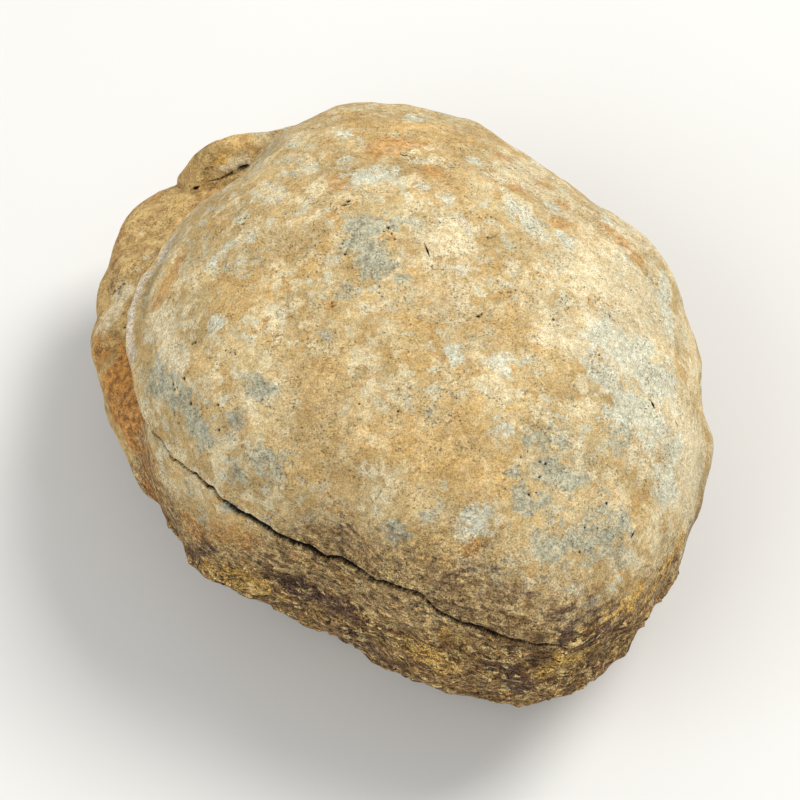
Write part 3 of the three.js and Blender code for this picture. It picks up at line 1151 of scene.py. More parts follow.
Socket = bpy.types.NodeSocket
Feed = Socket | float
MATT_SHEEN = 0.25  # how strongly a matt surface mirrors light
GRAIN_WAY = (1.0, 0.7, -0.4)  # the way in which a grain's shift moves it


def linear(red: int, green: int, blue: int) -> Colour:
    """A colour seen as red, green and blue from 0 to 255, as the shares of light it stands for.

    Args:
        red: the red part.
        green: the green part.
        blue: the blue part.

    Returns:
        The three shares of light.
    """
    shares = [part / 255.0 for part in (red, green, blue)]
    light = [s / 12.92 if s <= 0.04045 else ((s + 0.055) / 1.055) ** 2.4 for s in shares]
    return (light[0], light[1], light[2])


@dataclass(frozen=True)
class Grain:
    """Cloudy noise: the width of its lumps in millimetres, and how many finer layers it has.

    The shift tells two grains apart, rough is how strong the finer layers are, and flat is how many
    times wider than high the lumps are.
    """

    size: float
    detail: float = 2.0
    shift: float = 0.0
    rough: float = 0.55
    flat: float = 1.0
    apart: float = 0.1

    def like(self, times: float, number: int, flat: float) -> "Grain":
        """The same grain, so many times wider, flatter, and moved on by a number."""
        return Grain(self.size * times, self.detail, self.shift + self.apart * number, self.rough, flat)


@dataclass
class NodeSheet:
    """The nodes of one material, added and joined by short calls."""

    tree: bpy.types.NodeTree
    place: Socket

    @classmethod
    def of(cls, material: bpy.types.Material) -> "NodeSheet":
        """Clears a material's nodes and starts a sheet on it.

        Args:
            material: the material to fill.

        Returns:
            The sheet, with the object's own coordinates ready.
        """
        material.use_nodes = True
        tree = material.node_tree
        tree.nodes.clear()
        place = tree.nodes.new("ShaderNodeTexCoord").outputs["Object"]
        return cls(tree, place)

    def feed(self, socket: Socket, value: Feed) -> None:
        """Joins a socket to another, or sets it to a number.

        Args:
            socket: the socket to feed.
            value: the socket or number that feeds it.
        """
        if isinstance(value, (int, float)):
            socket.default_value = value
        else:
            self.tree.links.new(value, socket)

    def work(self, operation: str, first: Feed, second: Feed = 0.0) -> Socket:
        """A sum of two values.

        Args:
            operation: which sum.
            first: the first value.
            second: the second value.

        Returns:
            The result.
        """
        node = self.tree.nodes.new("ShaderNodeMath")
        node.operation = operation
        self.feed(node.inputs[0], first)
        self.feed(node.inputs[1], second)
        return node.outputs[0]

    def scaled(self, value: Socket, scale: float, offset: float = 0.0) -> Socket:
        """A value times a scale, moved by an offset.

        Args:
            value: the value.
            scale: what it is multiplied by.
            offset: what is added then.

        Returns:
            The result.
        """
        result = self.work("MULTIPLY_ADD", value, scale)
        result.node.inputs[2].default_value = offset
        return result

    def swing(self, grain: Grain, height: float) -> Socket:
        """A grain's noise about 0 instead of 0.5, as tall as the height."""
        return self.scaled(self.noise(grain), height, -0.5 * height)

    def ramp(self, value: Feed, levels: Pair, top: float = 1.0) -> Socket:
        """An eased ramp of a value.

        Args:
            value: the value to ease.
            levels: where the ramp leaves 0, and where it is full.
            top: its full height.

        Returns:
            The ramp's value.
        """
        node = self.tree.nodes.new("ShaderNodeMapRange")
        node.interpolation_type = "SMOOTHSTEP"
        self.feed(node.inputs["Value"], value)
        node.inputs["From Min"].default_value = levels[0]
        node.inputs["From Max"].default_value = levels[1]
        node.inputs["To Max"].default_value = top
        return node.outputs["Result"]

    def noise(self, grain: Grain) -> Socket:
        """Cloudy noise about 0.5.

        Args:
            grain: the noise's grain.

        Returns:
            The noise.
        """
        moved = self.tree.nodes.new("ShaderNodeVectorMath")
        moved.operation = "MULTIPLY_ADD"
        self.tree.links.new(self.place, moved.inputs[0])
        moved.inputs[1].default_value = (1.0, 1.0, grain.flat)
        moved.inputs[2].default_value = [grain.shift * part for part in GRAIN_WAY]
        node = self.tree.nodes.new("ShaderNodeTexNoise")
        self.tree.links.new(moved.outputs[0], node.inputs["Vector"])
        node.inputs["Scale"].default_value = 1.0 / (grain.size * MM)
        node.inputs["Detail"].default_value = grain.detail
        node.inputs["Roughness"].default_value = grain.rough
        return node.outputs["Fac"]

    def blend(self, share: Feed, first: Socket | Colour, second: Socket | Colour) -> Socket:
        """A colour between two.

        Args:
            share: how much of the second there is.
            first: the first colour.
            second: the second colour.

        Returns:
            The blended colour.
        """
        node = self.tree.nodes.new("ShaderNodeMix")
        node.data_type = "RGBA"
        self.feed(node.inputs[0], share)
        for socket, colour in ((node.inputs[6], first), (node.inputs[7], second)):
            if isinstance(colour, tuple):
                socket.default_value = (*colour, 1.0)
            else:
                self.tree.links.new(colour, socket)
        return node.outputs[2]

    def shade(self, colour: Socket, value: Socket) -> Socket:
        """A colour made lighter or darker.

        Args:
            colour: the colour.
            value: what it is multiplied by.

        Returns:
            The shaded colour.
        """
        node = self.tree.nodes.new("ShaderNodeVectorMath")
        node.operation = "SCALE"
        self.tree.links.new(colour, node.inputs[0])
        self.tree.links.new(value, node.inputs["Scale"])
        return node.outputs[0]

    def mask(self, name: str) -> Socket:
        """A mask kept on the mesh.

        Args:
            name: the mask's name.

        Returns:
            The mask.
        """
        node = self.tree.nodes.new("ShaderNodeAttribute")
        node.attribute_name = name
        return node.outputs["Fac"]

    def surface(self, colour: Socket | Colour, roughness: Feed, height: Socket | None) -> None:
        """Ends the sheet with a matt surface.

        Args:
            colour: the surface's colour.
            roughness: how matt it is.
            height: the fine relief in millimetres, or nothing.
        """
        shader = self.tree.nodes.new("ShaderNodeBsdfPrincipled")
        shader.inputs["Specular IOR Level"].default_value = MATT_SHEEN
        self.feed(shader.inputs["Roughness"], roughness)
        if isinstance(colour, tuple):
            shader.inputs["Base Color"].default_value = (*colour, 1.0)
        else:
            self.tree.links.new(colour, shader.inputs["Base Color"])
        if height is not None:
            bump = self.tree.nodes.new("ShaderNodeBump")
            bump.inputs["Strength"].default_value = 1.0
            bump.inputs["Distance"].default_value = MM
            self.tree.links.new(height, bump.inputs["Height"])
            self.tree.links.new(bump.outputs["Normal"], shader.inputs["Normal"])
        output = self.tree.nodes.new("ShaderNodeOutputMaterial")
        self.tree.links.new(shader.outputs["BSDF"], output.inputs["Surface"])


@dataclass(frozen=True)
class Stain:
    """How one tint looks: two colours in its grain, its strength, and how its edge breaks up.

    The edge runs from faint to full between two levels of the mask, after coarse and fine noise
    have broken the mask up.
    """

    tint: Tint
    light: Colour
    dark: Colour
    opacity: float
    levels: Pair
    ragged: float
    grain: float
    flat: float = 1.0


@dataclass(frozen=True)
class Fleck:
    """Small flecks of one colour: their size, the regions they gather in, and how strong they are."""

    colour: Colour
    size: float
    region: float
    levels: Pair
    opacity: float
    shift: float
    flat: float = 1.0
    region_levels: Pair = (0.36, 0.58)

    @property
    def gathering(self) -> Grain:
        """The grain of the regions that the flecks gather in."""
        return Grain(self.region, 2.0, self.shift)

    @property
    def drops(self) -> Grain:
        """The grain of the flecks themselves."""
        return Grain(self.size, 3.0, self.shift + 0.3, flat=self.flat)


@dataclass(frozen=True)
class WeatheredStone:
    """The stone's finish: cream mudstone, mottled, stained, pitted and crusted, with painted shade in its
    cuts, low relief and crevices, and painted light on its paler side.
    """

    name: str = "weathered stone"
    cream: Colour = linear(206, 182, 134)
    sand: Colour = linear(190, 162, 110)
    speck: Colour = linear(96, 78, 54)
    # painted shade: the near-black brown laid into the crack, the slit, the hairlines and the pits
    gap: Colour = linear(20, 14, 10)
    clouds: Grain = Grain(7.0, 3.0, 0.1)
    cloud_levels: Pair = (0.40, 0.62)
    stain_speckle: Grain = Grain(0.32, 3.0, 1.9, 0.7)
    stain_edge: Grain = Grain(1.0, 4.0, 0.5, 0.66)  # one millimetre of a stain's grain
    stain_tone: Grain = Grain(0.45, 3.0, 2.5, 0.65)
    stain_end: Pair = (0.0, 0.2)
    stain_shades: Pair = (0.36, 0.62)
    crack_shade_edge: Pair = (-0.03, 0.02)  # where the crack's painted shade starts and is full, in millimetres inside the gap
    # how the painted shade of the slit, the hairlines and the pits is eased, and how dark it gets
    gap_shade_levels: Pair = (0.1, 0.6)
    gap_shade_opacity: float = 0.98
    speck_grain: Grain = Grain(0.24, 1.0, 4.1)
    speck_levels: Pair = (0.59, 0.69)
    speck_groups: Grain = Grain(2.6, 3.0, 4.2)
    group_levels: Pair = (0.42, 0.58)
    fine_grain: Grain = Grain(0.16, 2.0, 5.1, 0.6)
    coarse_grain: Grain = Grain(0.55, 3.0, 5.2, 0.6)
    # painted shade: a noise darkens hollow spots of the rough skin, and the low fine relief is darkened
    shaded_hollow_grain: Grain = Grain(0.5, 3.0, 5.4, 0.7, 1.8)
    shaded_hollow_levels: Pair = (0.36, 0.48)
    stand_shade_levels: Pair = (0.1, 0.9)
    darkest: float = 0.12
    gloss_grain: Grain = Grain(0.60, 2.0, 5.3)
    lump_grain: Grain = Grain(1.3, 4.0, 6.1, 0.6)
    grit_grain: Grain = Grain(0.30, 4.0, 6.2, 0.75)
    scale_grain: Grain = Grain(1.0, 4.0, 6.3, 0.6)
    scale_levels: Pair = (0.47, 0.53)
    scale_height: float = 0.045
    # Pairs of a factor and an offset, and plain factors, on the noises and on the roughness.
    fine_swing: float = 2.1
    coarse_swing: float = 1.2
    rough_swing: Pair = (1.3, 0.85)
    mean_shade: Pair = (1.0, 1.05)
    stand_shade: Pair = (0.5, 0.75)
    hollow_shade: Pair = (-0.85, 0.85)
    rough_shade: Pair = (0.24, 1.0)
    flank_rough: float = 0.75
    lump_height: float = 0.26
    grit_height: float = 0.22
    rough_height: Pair = (2.4, 1.0)
    speck_depth: float = 0.08
    speck_opacity: float = 0.6
    gloss: Pair = (0.10, 0.84)
    flecks: tuple[Fleck, ...] = (
        Fleck(linear(189, 152, 92), 2.2, 7.0, (0.50, 0.58), 0.60, 7.1),
        Fleck(linear(228, 214, 176), 1.9, 6.0, (0.50, 0.57), 0.62, 7.8),
        Fleck(linear(204, 204, 180), 1.5, 7.0, (0.54, 0.61), 0.62, 8.3),
        Fleck(linear(178, 133, 74), 1.1, 6.0, (0.59, 0.66), 0.55, 8.9),
        Fleck(linear(152, 150, 128), 0.9, 5.0, (0.58, 0.66), 0.45, 9.4),
    )
    # dark flecks, partly the crust's own dark colour and partly painted crevice shade, and cream chips
    chips: tuple[Fleck, ...] = (
        Fleck(linear(88, 58, 34), 1.8, 5.0, (0.50, 0.56), 0.72, 10.1, 2.2),
        Fleck(linear(232, 204, 140), 1.2, 4.0, (0.53, 0.58), 0.78, 10.7, 1.7),
        Fleck(linear(50, 34, 30), 0.9, 3.5, (0.57, 0.62), 0.82, 11.3, 2.8),
    )
    stains: tuple[Stain, ...] = (
        Stain(Tint.FLANK, linear(200, 168, 114), linear(132, 98, 58), 0.88, (0.05, 1.00), 1.9, 2.4, 1.7),
        Stain(Tint.TAN, linear(204, 173, 114), linear(168, 134, 82), 0.95, (0.15, 0.75), 1.0, 2.4),
        Stain(Tint.OCHRE, linear(208, 174, 114), linear(182, 146, 86), 0.70, (0.15, 0.95), 1.6, 2.4),
        # partly the stone's pale colour, partly painted light on the lit side and the knob's inner facet
        Stain(Tint.PALE, linear(230, 217, 184), linear(212, 195, 154), 0.80, (0.20, 0.80), 1.6, 1.6),
        Stain(Tint.ORANGE, linear(206, 160, 96), linear(172, 122, 66), 0.72, (0.40, 0.82), 2.6, 1.5),
        Stain(Tint.MIST, linear(222, 221, 200), linear(194, 194, 170), 0.80, (0.40, 0.85), 2.8, 1.3),
        Stain(Tint.BLUE, linear(186, 184, 158), linear(134, 138, 124), 0.80, (0.32, 0.88), 2.4, 1.2),
        Stain(Tint.RUST, linear(208, 148, 76), linear(136, 90, 46), 0.90, (0.20, 0.90), 2.4, 1.6),
        Stain(Tint.CRUST, linear(188, 149, 90), linear(108, 80, 52), 0.92, (0.15, 0.85), 2.0, 1.8, 1.8),
        Stain(Tint.YELLOW, linear(232, 192, 106), linear(190, 144, 70), 0.95, (0.25, 0.80), 2.6, 1.4, 1.6),
        Stain(Tint.PURPLE, linear(120, 92, 74), linear(56, 40, 38), 0.92, (0.25, 0.95), 3.0, 1.4, 1.9),
        Stain(Tint.LILAC, linear(222, 210, 192), linear(176, 158, 132), 0.88, (0.25, 0.85), 1.8, 0.7),
    )

    def ground(self, sheet: NodeSheet) -> Socket:
        """The bare stone: cream with clouds of sand and chalk, and small warm and misty flecks.

        Args:
            sheet: the material's sheet.

        Returns:
            Its colour.
        """
        broad = sheet.ramp(sheet.noise(self.clouds), self.cloud_levels)
        colour = sheet.blend(broad, self.cream, self.sand)
        for fleck in self.flecks:
            colour = sheet.blend(self.flecked(sheet, fleck), colour, fleck.colour)
        return colour

    @staticmethod
    def flecked(sheet: NodeSheet, fleck: Fleck) -> Socket:
        """Where flecks of one sort lie.

        Args:
            sheet: the material's sheet.
            fleck: the sort of fleck.

        Returns:
            Their share of the colour.
        """
        region = sheet.ramp(sheet.noise(fleck.gathering), fleck.region_levels)
        drops = sheet.ramp(sheet.noise(fleck.drops), fleck.levels, fleck.opacity)
        return sheet.work("MULTIPLY", region, drops)

    def with_chips_and_crevice_shade(self, sheet: NodeSheet, colour: Socket, rough: Socket) -> Socket:
        """Dark flecks, partly the crust's own dark colour and partly painted shade of crevices, and cream
        chips over the rough skin of the flank and the crust.

        Args:
            sheet: the material's sheet.
            colour: the colour below.
            rough: how rough the skin is, from 0 to 1.

        Returns:
            The colour with its chips and painted crevice shade.
        """
        for chip in self.chips:
            share = sheet.work("MULTIPLY", self.flecked(sheet, chip), rough)
            colour = sheet.blend(share, colour, chip.colour)
        return colour

    def stained(self, sheet: NodeSheet, colour: Socket) -> Socket:
        """The stains laid over a colour, one after the other, with broken edges.

        Args:
            sheet: the material's sheet.
            colour: the colour below.

        Returns:
            The stained colour.
        """
        fine = sheet.noise(self.stain_speckle)
        for number, stain in enumerate(self.stains):
            mask = sheet.mask(stain.tint.value)
            edge = self.stain_edge.like(stain.grain, number, stain.flat)
            swing = sheet.swing(edge, stain.ragged)
            speckle = sheet.scaled(fine, 0.5 * stain.ragged, -0.25 * stain.ragged)
            cover = sheet.work("ADD", mask, sheet.work("ADD", swing, speckle))
            share = sheet.ramp(cover, stain.levels, stain.opacity)
            share = sheet.work("MULTIPLY", share, sheet.ramp(mask, self.stain_end))
            tone = self.stain_tone.like(stain.grain, number, stain.flat)
            shade = sheet.ramp(sheet.noise(tone), self.stain_shades)
            colour = sheet.blend(share, colour, sheet.blend(shade, stain.dark, stain.light))
        return colour

    def painted_gap_shade(self, sheet: NodeSheet) -> Socket:
        """The painted shade in the crack, the slit, the hairlines and the pits.

        Args:
            sheet: the material's sheet.

        Returns:
            Shares of painted shade.
        """
        away = sheet.work("ABSOLUTE", sheet.mask(Mark.ABOVE.value))
        inside = sheet.work("SUBTRACT", sheet.mask(Mark.HALF.value), away)
        crack = sheet.ramp(inside, self.crack_shade_edge, self.gap_shade_opacity)
        other = sheet.ramp(sheet.mask(Mark.GAP.value), self.gap_shade_levels, self.gap_shade_opacity)
        return sheet.work("MAXIMUM", crack, other)

    def specks(self, sheet: NodeSheet) -> Socket:
        """Fine dark specks in loose groups.

        Args:
            sheet: the material's sheet.

        Returns:
            Shares of darkness.
        """
        fine = sheet.ramp(sheet.noise(self.speck_grain), self.speck_levels)
        groups = sheet.ramp(sheet.noise(self.speck_groups), self.group_levels)
        return sheet.work("MULTIPLY", fine, groups)

    def grain_and_painted_shade(self, sheet: NodeSheet, rough: Socket) -> Socket:
        """How light and dark the grain makes the colour, with painted shade: darker where the fine relief
        stands low, and in a noise's hollow spots on the rough skin, as shade between grains.

        Args:
            sheet: the material's sheet.
            rough: how rough the skin is, from 0 to 1.

        Returns:
            The factor on the colour.
        """
        fine = sheet.swing(self.fine_grain, self.fine_swing)
        swing = sheet.work("ADD", fine, sheet.swing(self.coarse_grain, self.coarse_swing))
        swing = sheet.work("MULTIPLY", swing, sheet.scaled(rough, *self.rough_swing))
        # painted shade between the rough skin's grains, in a noise's hollow spots
        shaded_hollows = sheet.ramp(sheet.noise(self.shaded_hollow_grain), self.shaded_hollow_levels)
        deep = sheet.work("MULTIPLY", sheet.scaled(shaded_hollows, *self.hollow_shade), rough)
        # painted shade: darker where the fine relief stands low
        stand = sheet.scaled(sheet.ramp(sheet.mask(Mark.STAND.value), self.stand_shade_levels), *self.stand_shade)
        factor = sheet.work("MULTIPLY", sheet.scaled(swing, *self.mean_shade), stand)
        factor = sheet.work("MULTIPLY", factor, sheet.scaled(deep, -1.0, 1.0))
        factor = sheet.work("MULTIPLY", factor, sheet.scaled(rough, *self.rough_shade))
        return sheet.work("MAXIMUM", factor, self.darkest)

    def height(self, sheet: NodeSheet, rough: Socket, specks: Socket) -> Socket:
        """The fine relief in millimetres: lumps, thin scales with crisp edges, and grit.

        Args:
            sheet: the material's sheet.
            rough: how rough the skin is, from 0 to 1.
            specks: where the dark specks are.

        Returns:
            The relief.
        """
        lumps = sheet.scaled(sheet.noise(self.lump_grain), self.lump_height)
        scales = sheet.ramp(sheet.noise(self.scale_grain), self.scale_levels, self.scale_height)
        grit = sheet.scaled(sheet.noise(self.grit_grain), self.grit_height)
        total = sheet.work("ADD", sheet.work("ADD", lumps, scales), grit)
        total = sheet.work("MULTIPLY", total, sheet.scaled(rough, *self.rough_height))
        return sheet.work("SUBTRACT", total, sheet.scaled(specks, self.speck_depth))

    def make(self) -> bpy.types.Material:
        """Makes the material.

        Returns:
            The material.
        """
        material = bpy.data.materials.new(self.name)
        sheet = NodeSheet.of(material)
        flank = sheet.scaled(sheet.mask(Tint.FLANK.value), self.flank_rough)
        rough = sheet.work("MAXIMUM", flank, sheet.mask(Tint.CRUST.value))
        colour = self.with_chips_and_crevice_shade(sheet, self.stained(sheet, self.ground(sheet)), rough)
        specks = self.specks(sheet)
        colour = sheet.blend(sheet.work("MULTIPLY", specks, self.speck_opacity), colour, self.speck)
        # the grain's tone, and painted shade in the low relief and between the rough skin's grains
        colour = sheet.shade(colour, self.grain_and_painted_shade(sheet, rough))
        # painted shade in the crack, the slit, the hairlines and the pits
        colour = sheet.blend(self.painted_gap_shade(sheet), colour, self.gap)
        gloss = sheet.scaled(sheet.noise(self.gloss_grain), *self.gloss)
        sheet.surface(colour, gloss, self.height(sheet, rough, specks))
        return material


@dataclass(frozen=True)
class PaleFloor:
    """The finish of the plain pale floor, very slightly uneven in tone."""

    light: Colour = linear(226, 225, 222)
    dark: Colour = linear(220, 219, 216)
    clouds: Grain = Grain(60.0)
    roughness: float = 0.9

    def make(self) -> bpy.types.Material:
        """Makes the material.

        Returns:
            The material.
        """
        material = bpy.data.materials.new("pale floor")
        sheet = NodeSheet.of(material)
        colour = sheet.blend(sheet.noise(self.clouds), self.light, self.dark)
        sheet.surface(colour, self.roughness, None)
        return material


# ---------------------------------------------------------------------------------------------
# The stone
# ---------------------------------------------------------------------------------------------


@dataclass
class Concretion:
    """The whole stone: its skin, what is cut into it, what stains it, and its finish."""

    name: str = "weathered_concretion"
    form: StoneForm = StoneForm()
    lip: Lip = Lip()
    crack: Fissure = Fissure(
        line=(
            (186.0, 25.2), (192.0, 25.9), (198.6, 26.5), (204.5, 26.9), (212.0, 27.9), (218.0, 28.6),
            (220.5, 28.4), (227.7, 27.7), (232.9, 27.2), (240.5, 26.7), (250.8, 26.3), (254.9, 26.7),
            (260.0, 27.1), (264.7, 27.2), (267.5, 27.6), (271.3, 27.9), (274.7, 27.9), (278.6, 26.7),
            (284.0, 26.3), (288.5, 25.9), (295.1, 25.5), (298.5, 25.2),
        ),
        widths=(
            (186.0, 0.16), (196.0, 0.30), (210.0, 0.42), (222.0, 0.62), (240.0, 0.68), (254.0, 0.60),
            (264.0, 0.52), (274.0, 0.50), (288.0, 0.50), (296.0, 0.40), (298.5, 0.16),
        ),
        depth=2.4,
    )
    slit: Slit = Slit((-18.9, 26.66, 21.88), (-15.8, 27.7, 22.95), 0.30, 2.0, (0.35, 0.85, -0.4))
    flank_level: Ring = Ring(
        (
            (0, 15), (60, 14), (120, 16), (180, 20), (200, 21.5), (215, 22.5), (230, 24.5),
            (245, 28.5), (260, 31.5), (275, 33), (290, 32), (300, 29.5), (310, 26.5), (320, 22.5),
            (330, 21.5), (345, 17),
        )
    )
    crust_level: Ring = Ring(
        (
            (0, 11), (60, 11), (100, 11), (140, 9), (180, 10), (200, 12), (212, 14.5), (225, 18),
            (240, 21.5), (255, 22.5), (270, 22.5), (285, 25), (300, 26), (310, 23.5), (320, 20),
            (335, 15),
        )
    )
    flank_blur: float = 4.5
    flank_wander: Layer = Layer(1.6, 4.0, 53)
    crust_blur: float = 1.6
    crust_wander: tuple[Layer, ...] = (Layer(1.8, 4.5, 54), Layer(0.8, 1.8, 55, turned=True))
    spot_wander: tuple[Layer, ...] = (Layer(0.38, 2.6, 51), Layer(0.28, 1.1, 52, turned=True))
    ledge_blend: Pair = (-0.2, 0.9)
    ledge_sector: tuple[Pair, float] = ((112.0, 198.0), 10.0)
    lumps: tuple[Layer, ...] = (
        Layer(0.16, 3.6, 11),
        Layer(0.10, 1.7, 12, turned=True),
        Layer(0.05, 0.9, 13),
    )
    grains: tuple[Layer, ...] = (
        Layer(0.34, 2.6, 14, crested=True),
        Layer(0.13, 1.25, 15, turned=True, crested=True),
        Layer(0.09, 0.7, 16),
    )
    flakes: Layer = Layer(1.0, 2.0, 17, turned=True)
    flake_edge: Pair = (0.02, 0.16)
    flake_middle: Point = (2.0, 24.0, 35.0)
    flake_reach: Pair = (5.0, 9.0)
    flake_height: float = 0.16
    foot_fade: Pair = (0.0, 3.0)
    stand_range: float = 1.2
    map_margin: float = 0.01
    edge_lengths: tuple[Pair, ...] = (
        (0.0, 1.5), (6.0, 1.1), (12.0, 0.9), (22.0, 0.85), (26.0, 0.74),
    )
    crust_edge: float = 0.46
    crust_sector: tuple[Pair, float] = ((196.0, 338.0), 8.0)
    crust_rise: Pair = (9.0, 12.0)
    lip_edge: float = 0.34
    lip_fade: float = 4.0
    lip_band: Pair = (2.0, 4.5)
    knob_edge: float = 0.28
    knob_sector: Pair = (112.0, 142.0)
    knob_levels: Pair = (15.0, 27.0)
    knob_plan: float = 27.0
    cut_edge: float = 0.13
    pit_edge: float = 0.18
    cut_slope: float = 0.55
    refine_rounds: int = 16
    pit_seed: int = 7
    pit_scatter: float = 0.6
    pit_sizes: Pair = (0.4, 1.1)
    pit_depth: float = 1.3
    pits: list[Pit] = field(default_factory=list)
    clusters: tuple[PitCluster, ...] = (
        PitCluster((-5.2, 11.2, 40.7), 0.7, 4, 0.28), PitCluster((-15.5, 12.2, 37.1), 0.7, 4, 0.26),
        PitCluster((-20.5, -1.3, 35.1), 0.6, 3, 0.20), PitCluster((-16.5, -4.5, 37.4), 0.9, 6, 0.18),
        PitCluster((-5.7, 5.8, 41.2), 0.7, 4, 0.20), PitCluster((-9.3, 3.0, 40.5), 1.0, 4, 0.20),
        PitCluster((2.1, 17.2, 38.4), 0.5, 3, 0.15), PitCluster((11.1, 20.3, 33.9), 0.6, 3, 0.16),
        PitCluster((15.5, -1.7, 39.4), 0.6, 3, 0.18), PitCluster((10.9, 1.3, 40.7), 0.6, 2, 0.20),
        PitCluster((7.7, -1.7, 41.0), 0.7, 3, 0.18), PitCluster((-1.5, 0.1, 41.5), 1.0, 3, 0.20),
        PitCluster((-0.5, 7.2, 41.5), 1.0, 4, 0.18), PitCluster((-6.8, -0.9, 41.2), 0.4, 2, 0.26),
        PitCluster((-22.0, -6.0, 32.0), 1.8, 12, 0.19), PitCluster((-18.0, -9.0, 34.5), 2.2, 8, 0.16),
        PitCluster((13.0, -17.0, 37.5), 2.6, 9, 0.18), PitCluster((18.0, -21.0, 33.0), 3.5, 10, 0.14),
        PitCluster((20.0, 0.0, 37.0), 4.5, 8, 0.15), PitCluster((9.0, 11.0, 39.0), 5.0, 8, 0.15),
        PitCluster((0.0, -9.0, 40.5), 6.0, 8, 0.15), PitCluster((-10.0, -12.0, 38.0), 4.0, 8, 0.16),
        PitCluster((18.0, 24.0, 26.0), 4.0, 7, 0.22), PitCluster((-2.0, 31.0, 25.0), 4.0, 7, 0.22),
        PitCluster((30.0, 6.0, 22.0), 3.0, 6, 0.20), PitCluster((-29.0, 12.0, 19.0), 3.0, 6, 0.20),
    )
    hairlines: tuple[Hairline, ...] = (
        Hairline((2.4, 6.4, 41.4), (3.1, 4.1, 41.5), 0.10, 0.30),
        Hairline((18.9, 18.3, 30.1), (20.3, 16.3, 31.2), 0.22, 0.45),
        Hairline((8.0, 6.8, 40.5), (10.3, 8.8, 39.6), 0.12, 0.10),
        Hairline((23.2, -19.7, 29.7), (22.4, -21.3, 29.7), 0.18, 0.30),
        Hairline((25.0, -7.0, 33.2), (25.4, -8.0, 32.7), 0.15, 0.20),
        Hairline((27.3, -7.6, 30.4), (28.0, -8.2, 29.5), 0.13, 0.15),
        Hairline((-0.4, 19.6, 37.5), (1.6, 18.8, 37.7), 0.14, 0.18),
        Hairline((-23.9, 27.8, 18.3), (-22.0, 26.4, 20.9), 0.12, 0.30),
        Hairline((-22.0, 26.0, 20.7), (-21.3, 26.2, 21.2), 0.20, 0.35),
        Hairline((-20.6, 26.4, 21.5), (-18.7, 26.7, 21.9), 0.10, 0.25),
        # a shallow groove on the ledge under the lip's overhang, painted dark as the lip's shadow
        Hairline((-24.0, 19.8, 20.7), (-26.4, 15.9, 20.7), 0.34, 0.60),
    )
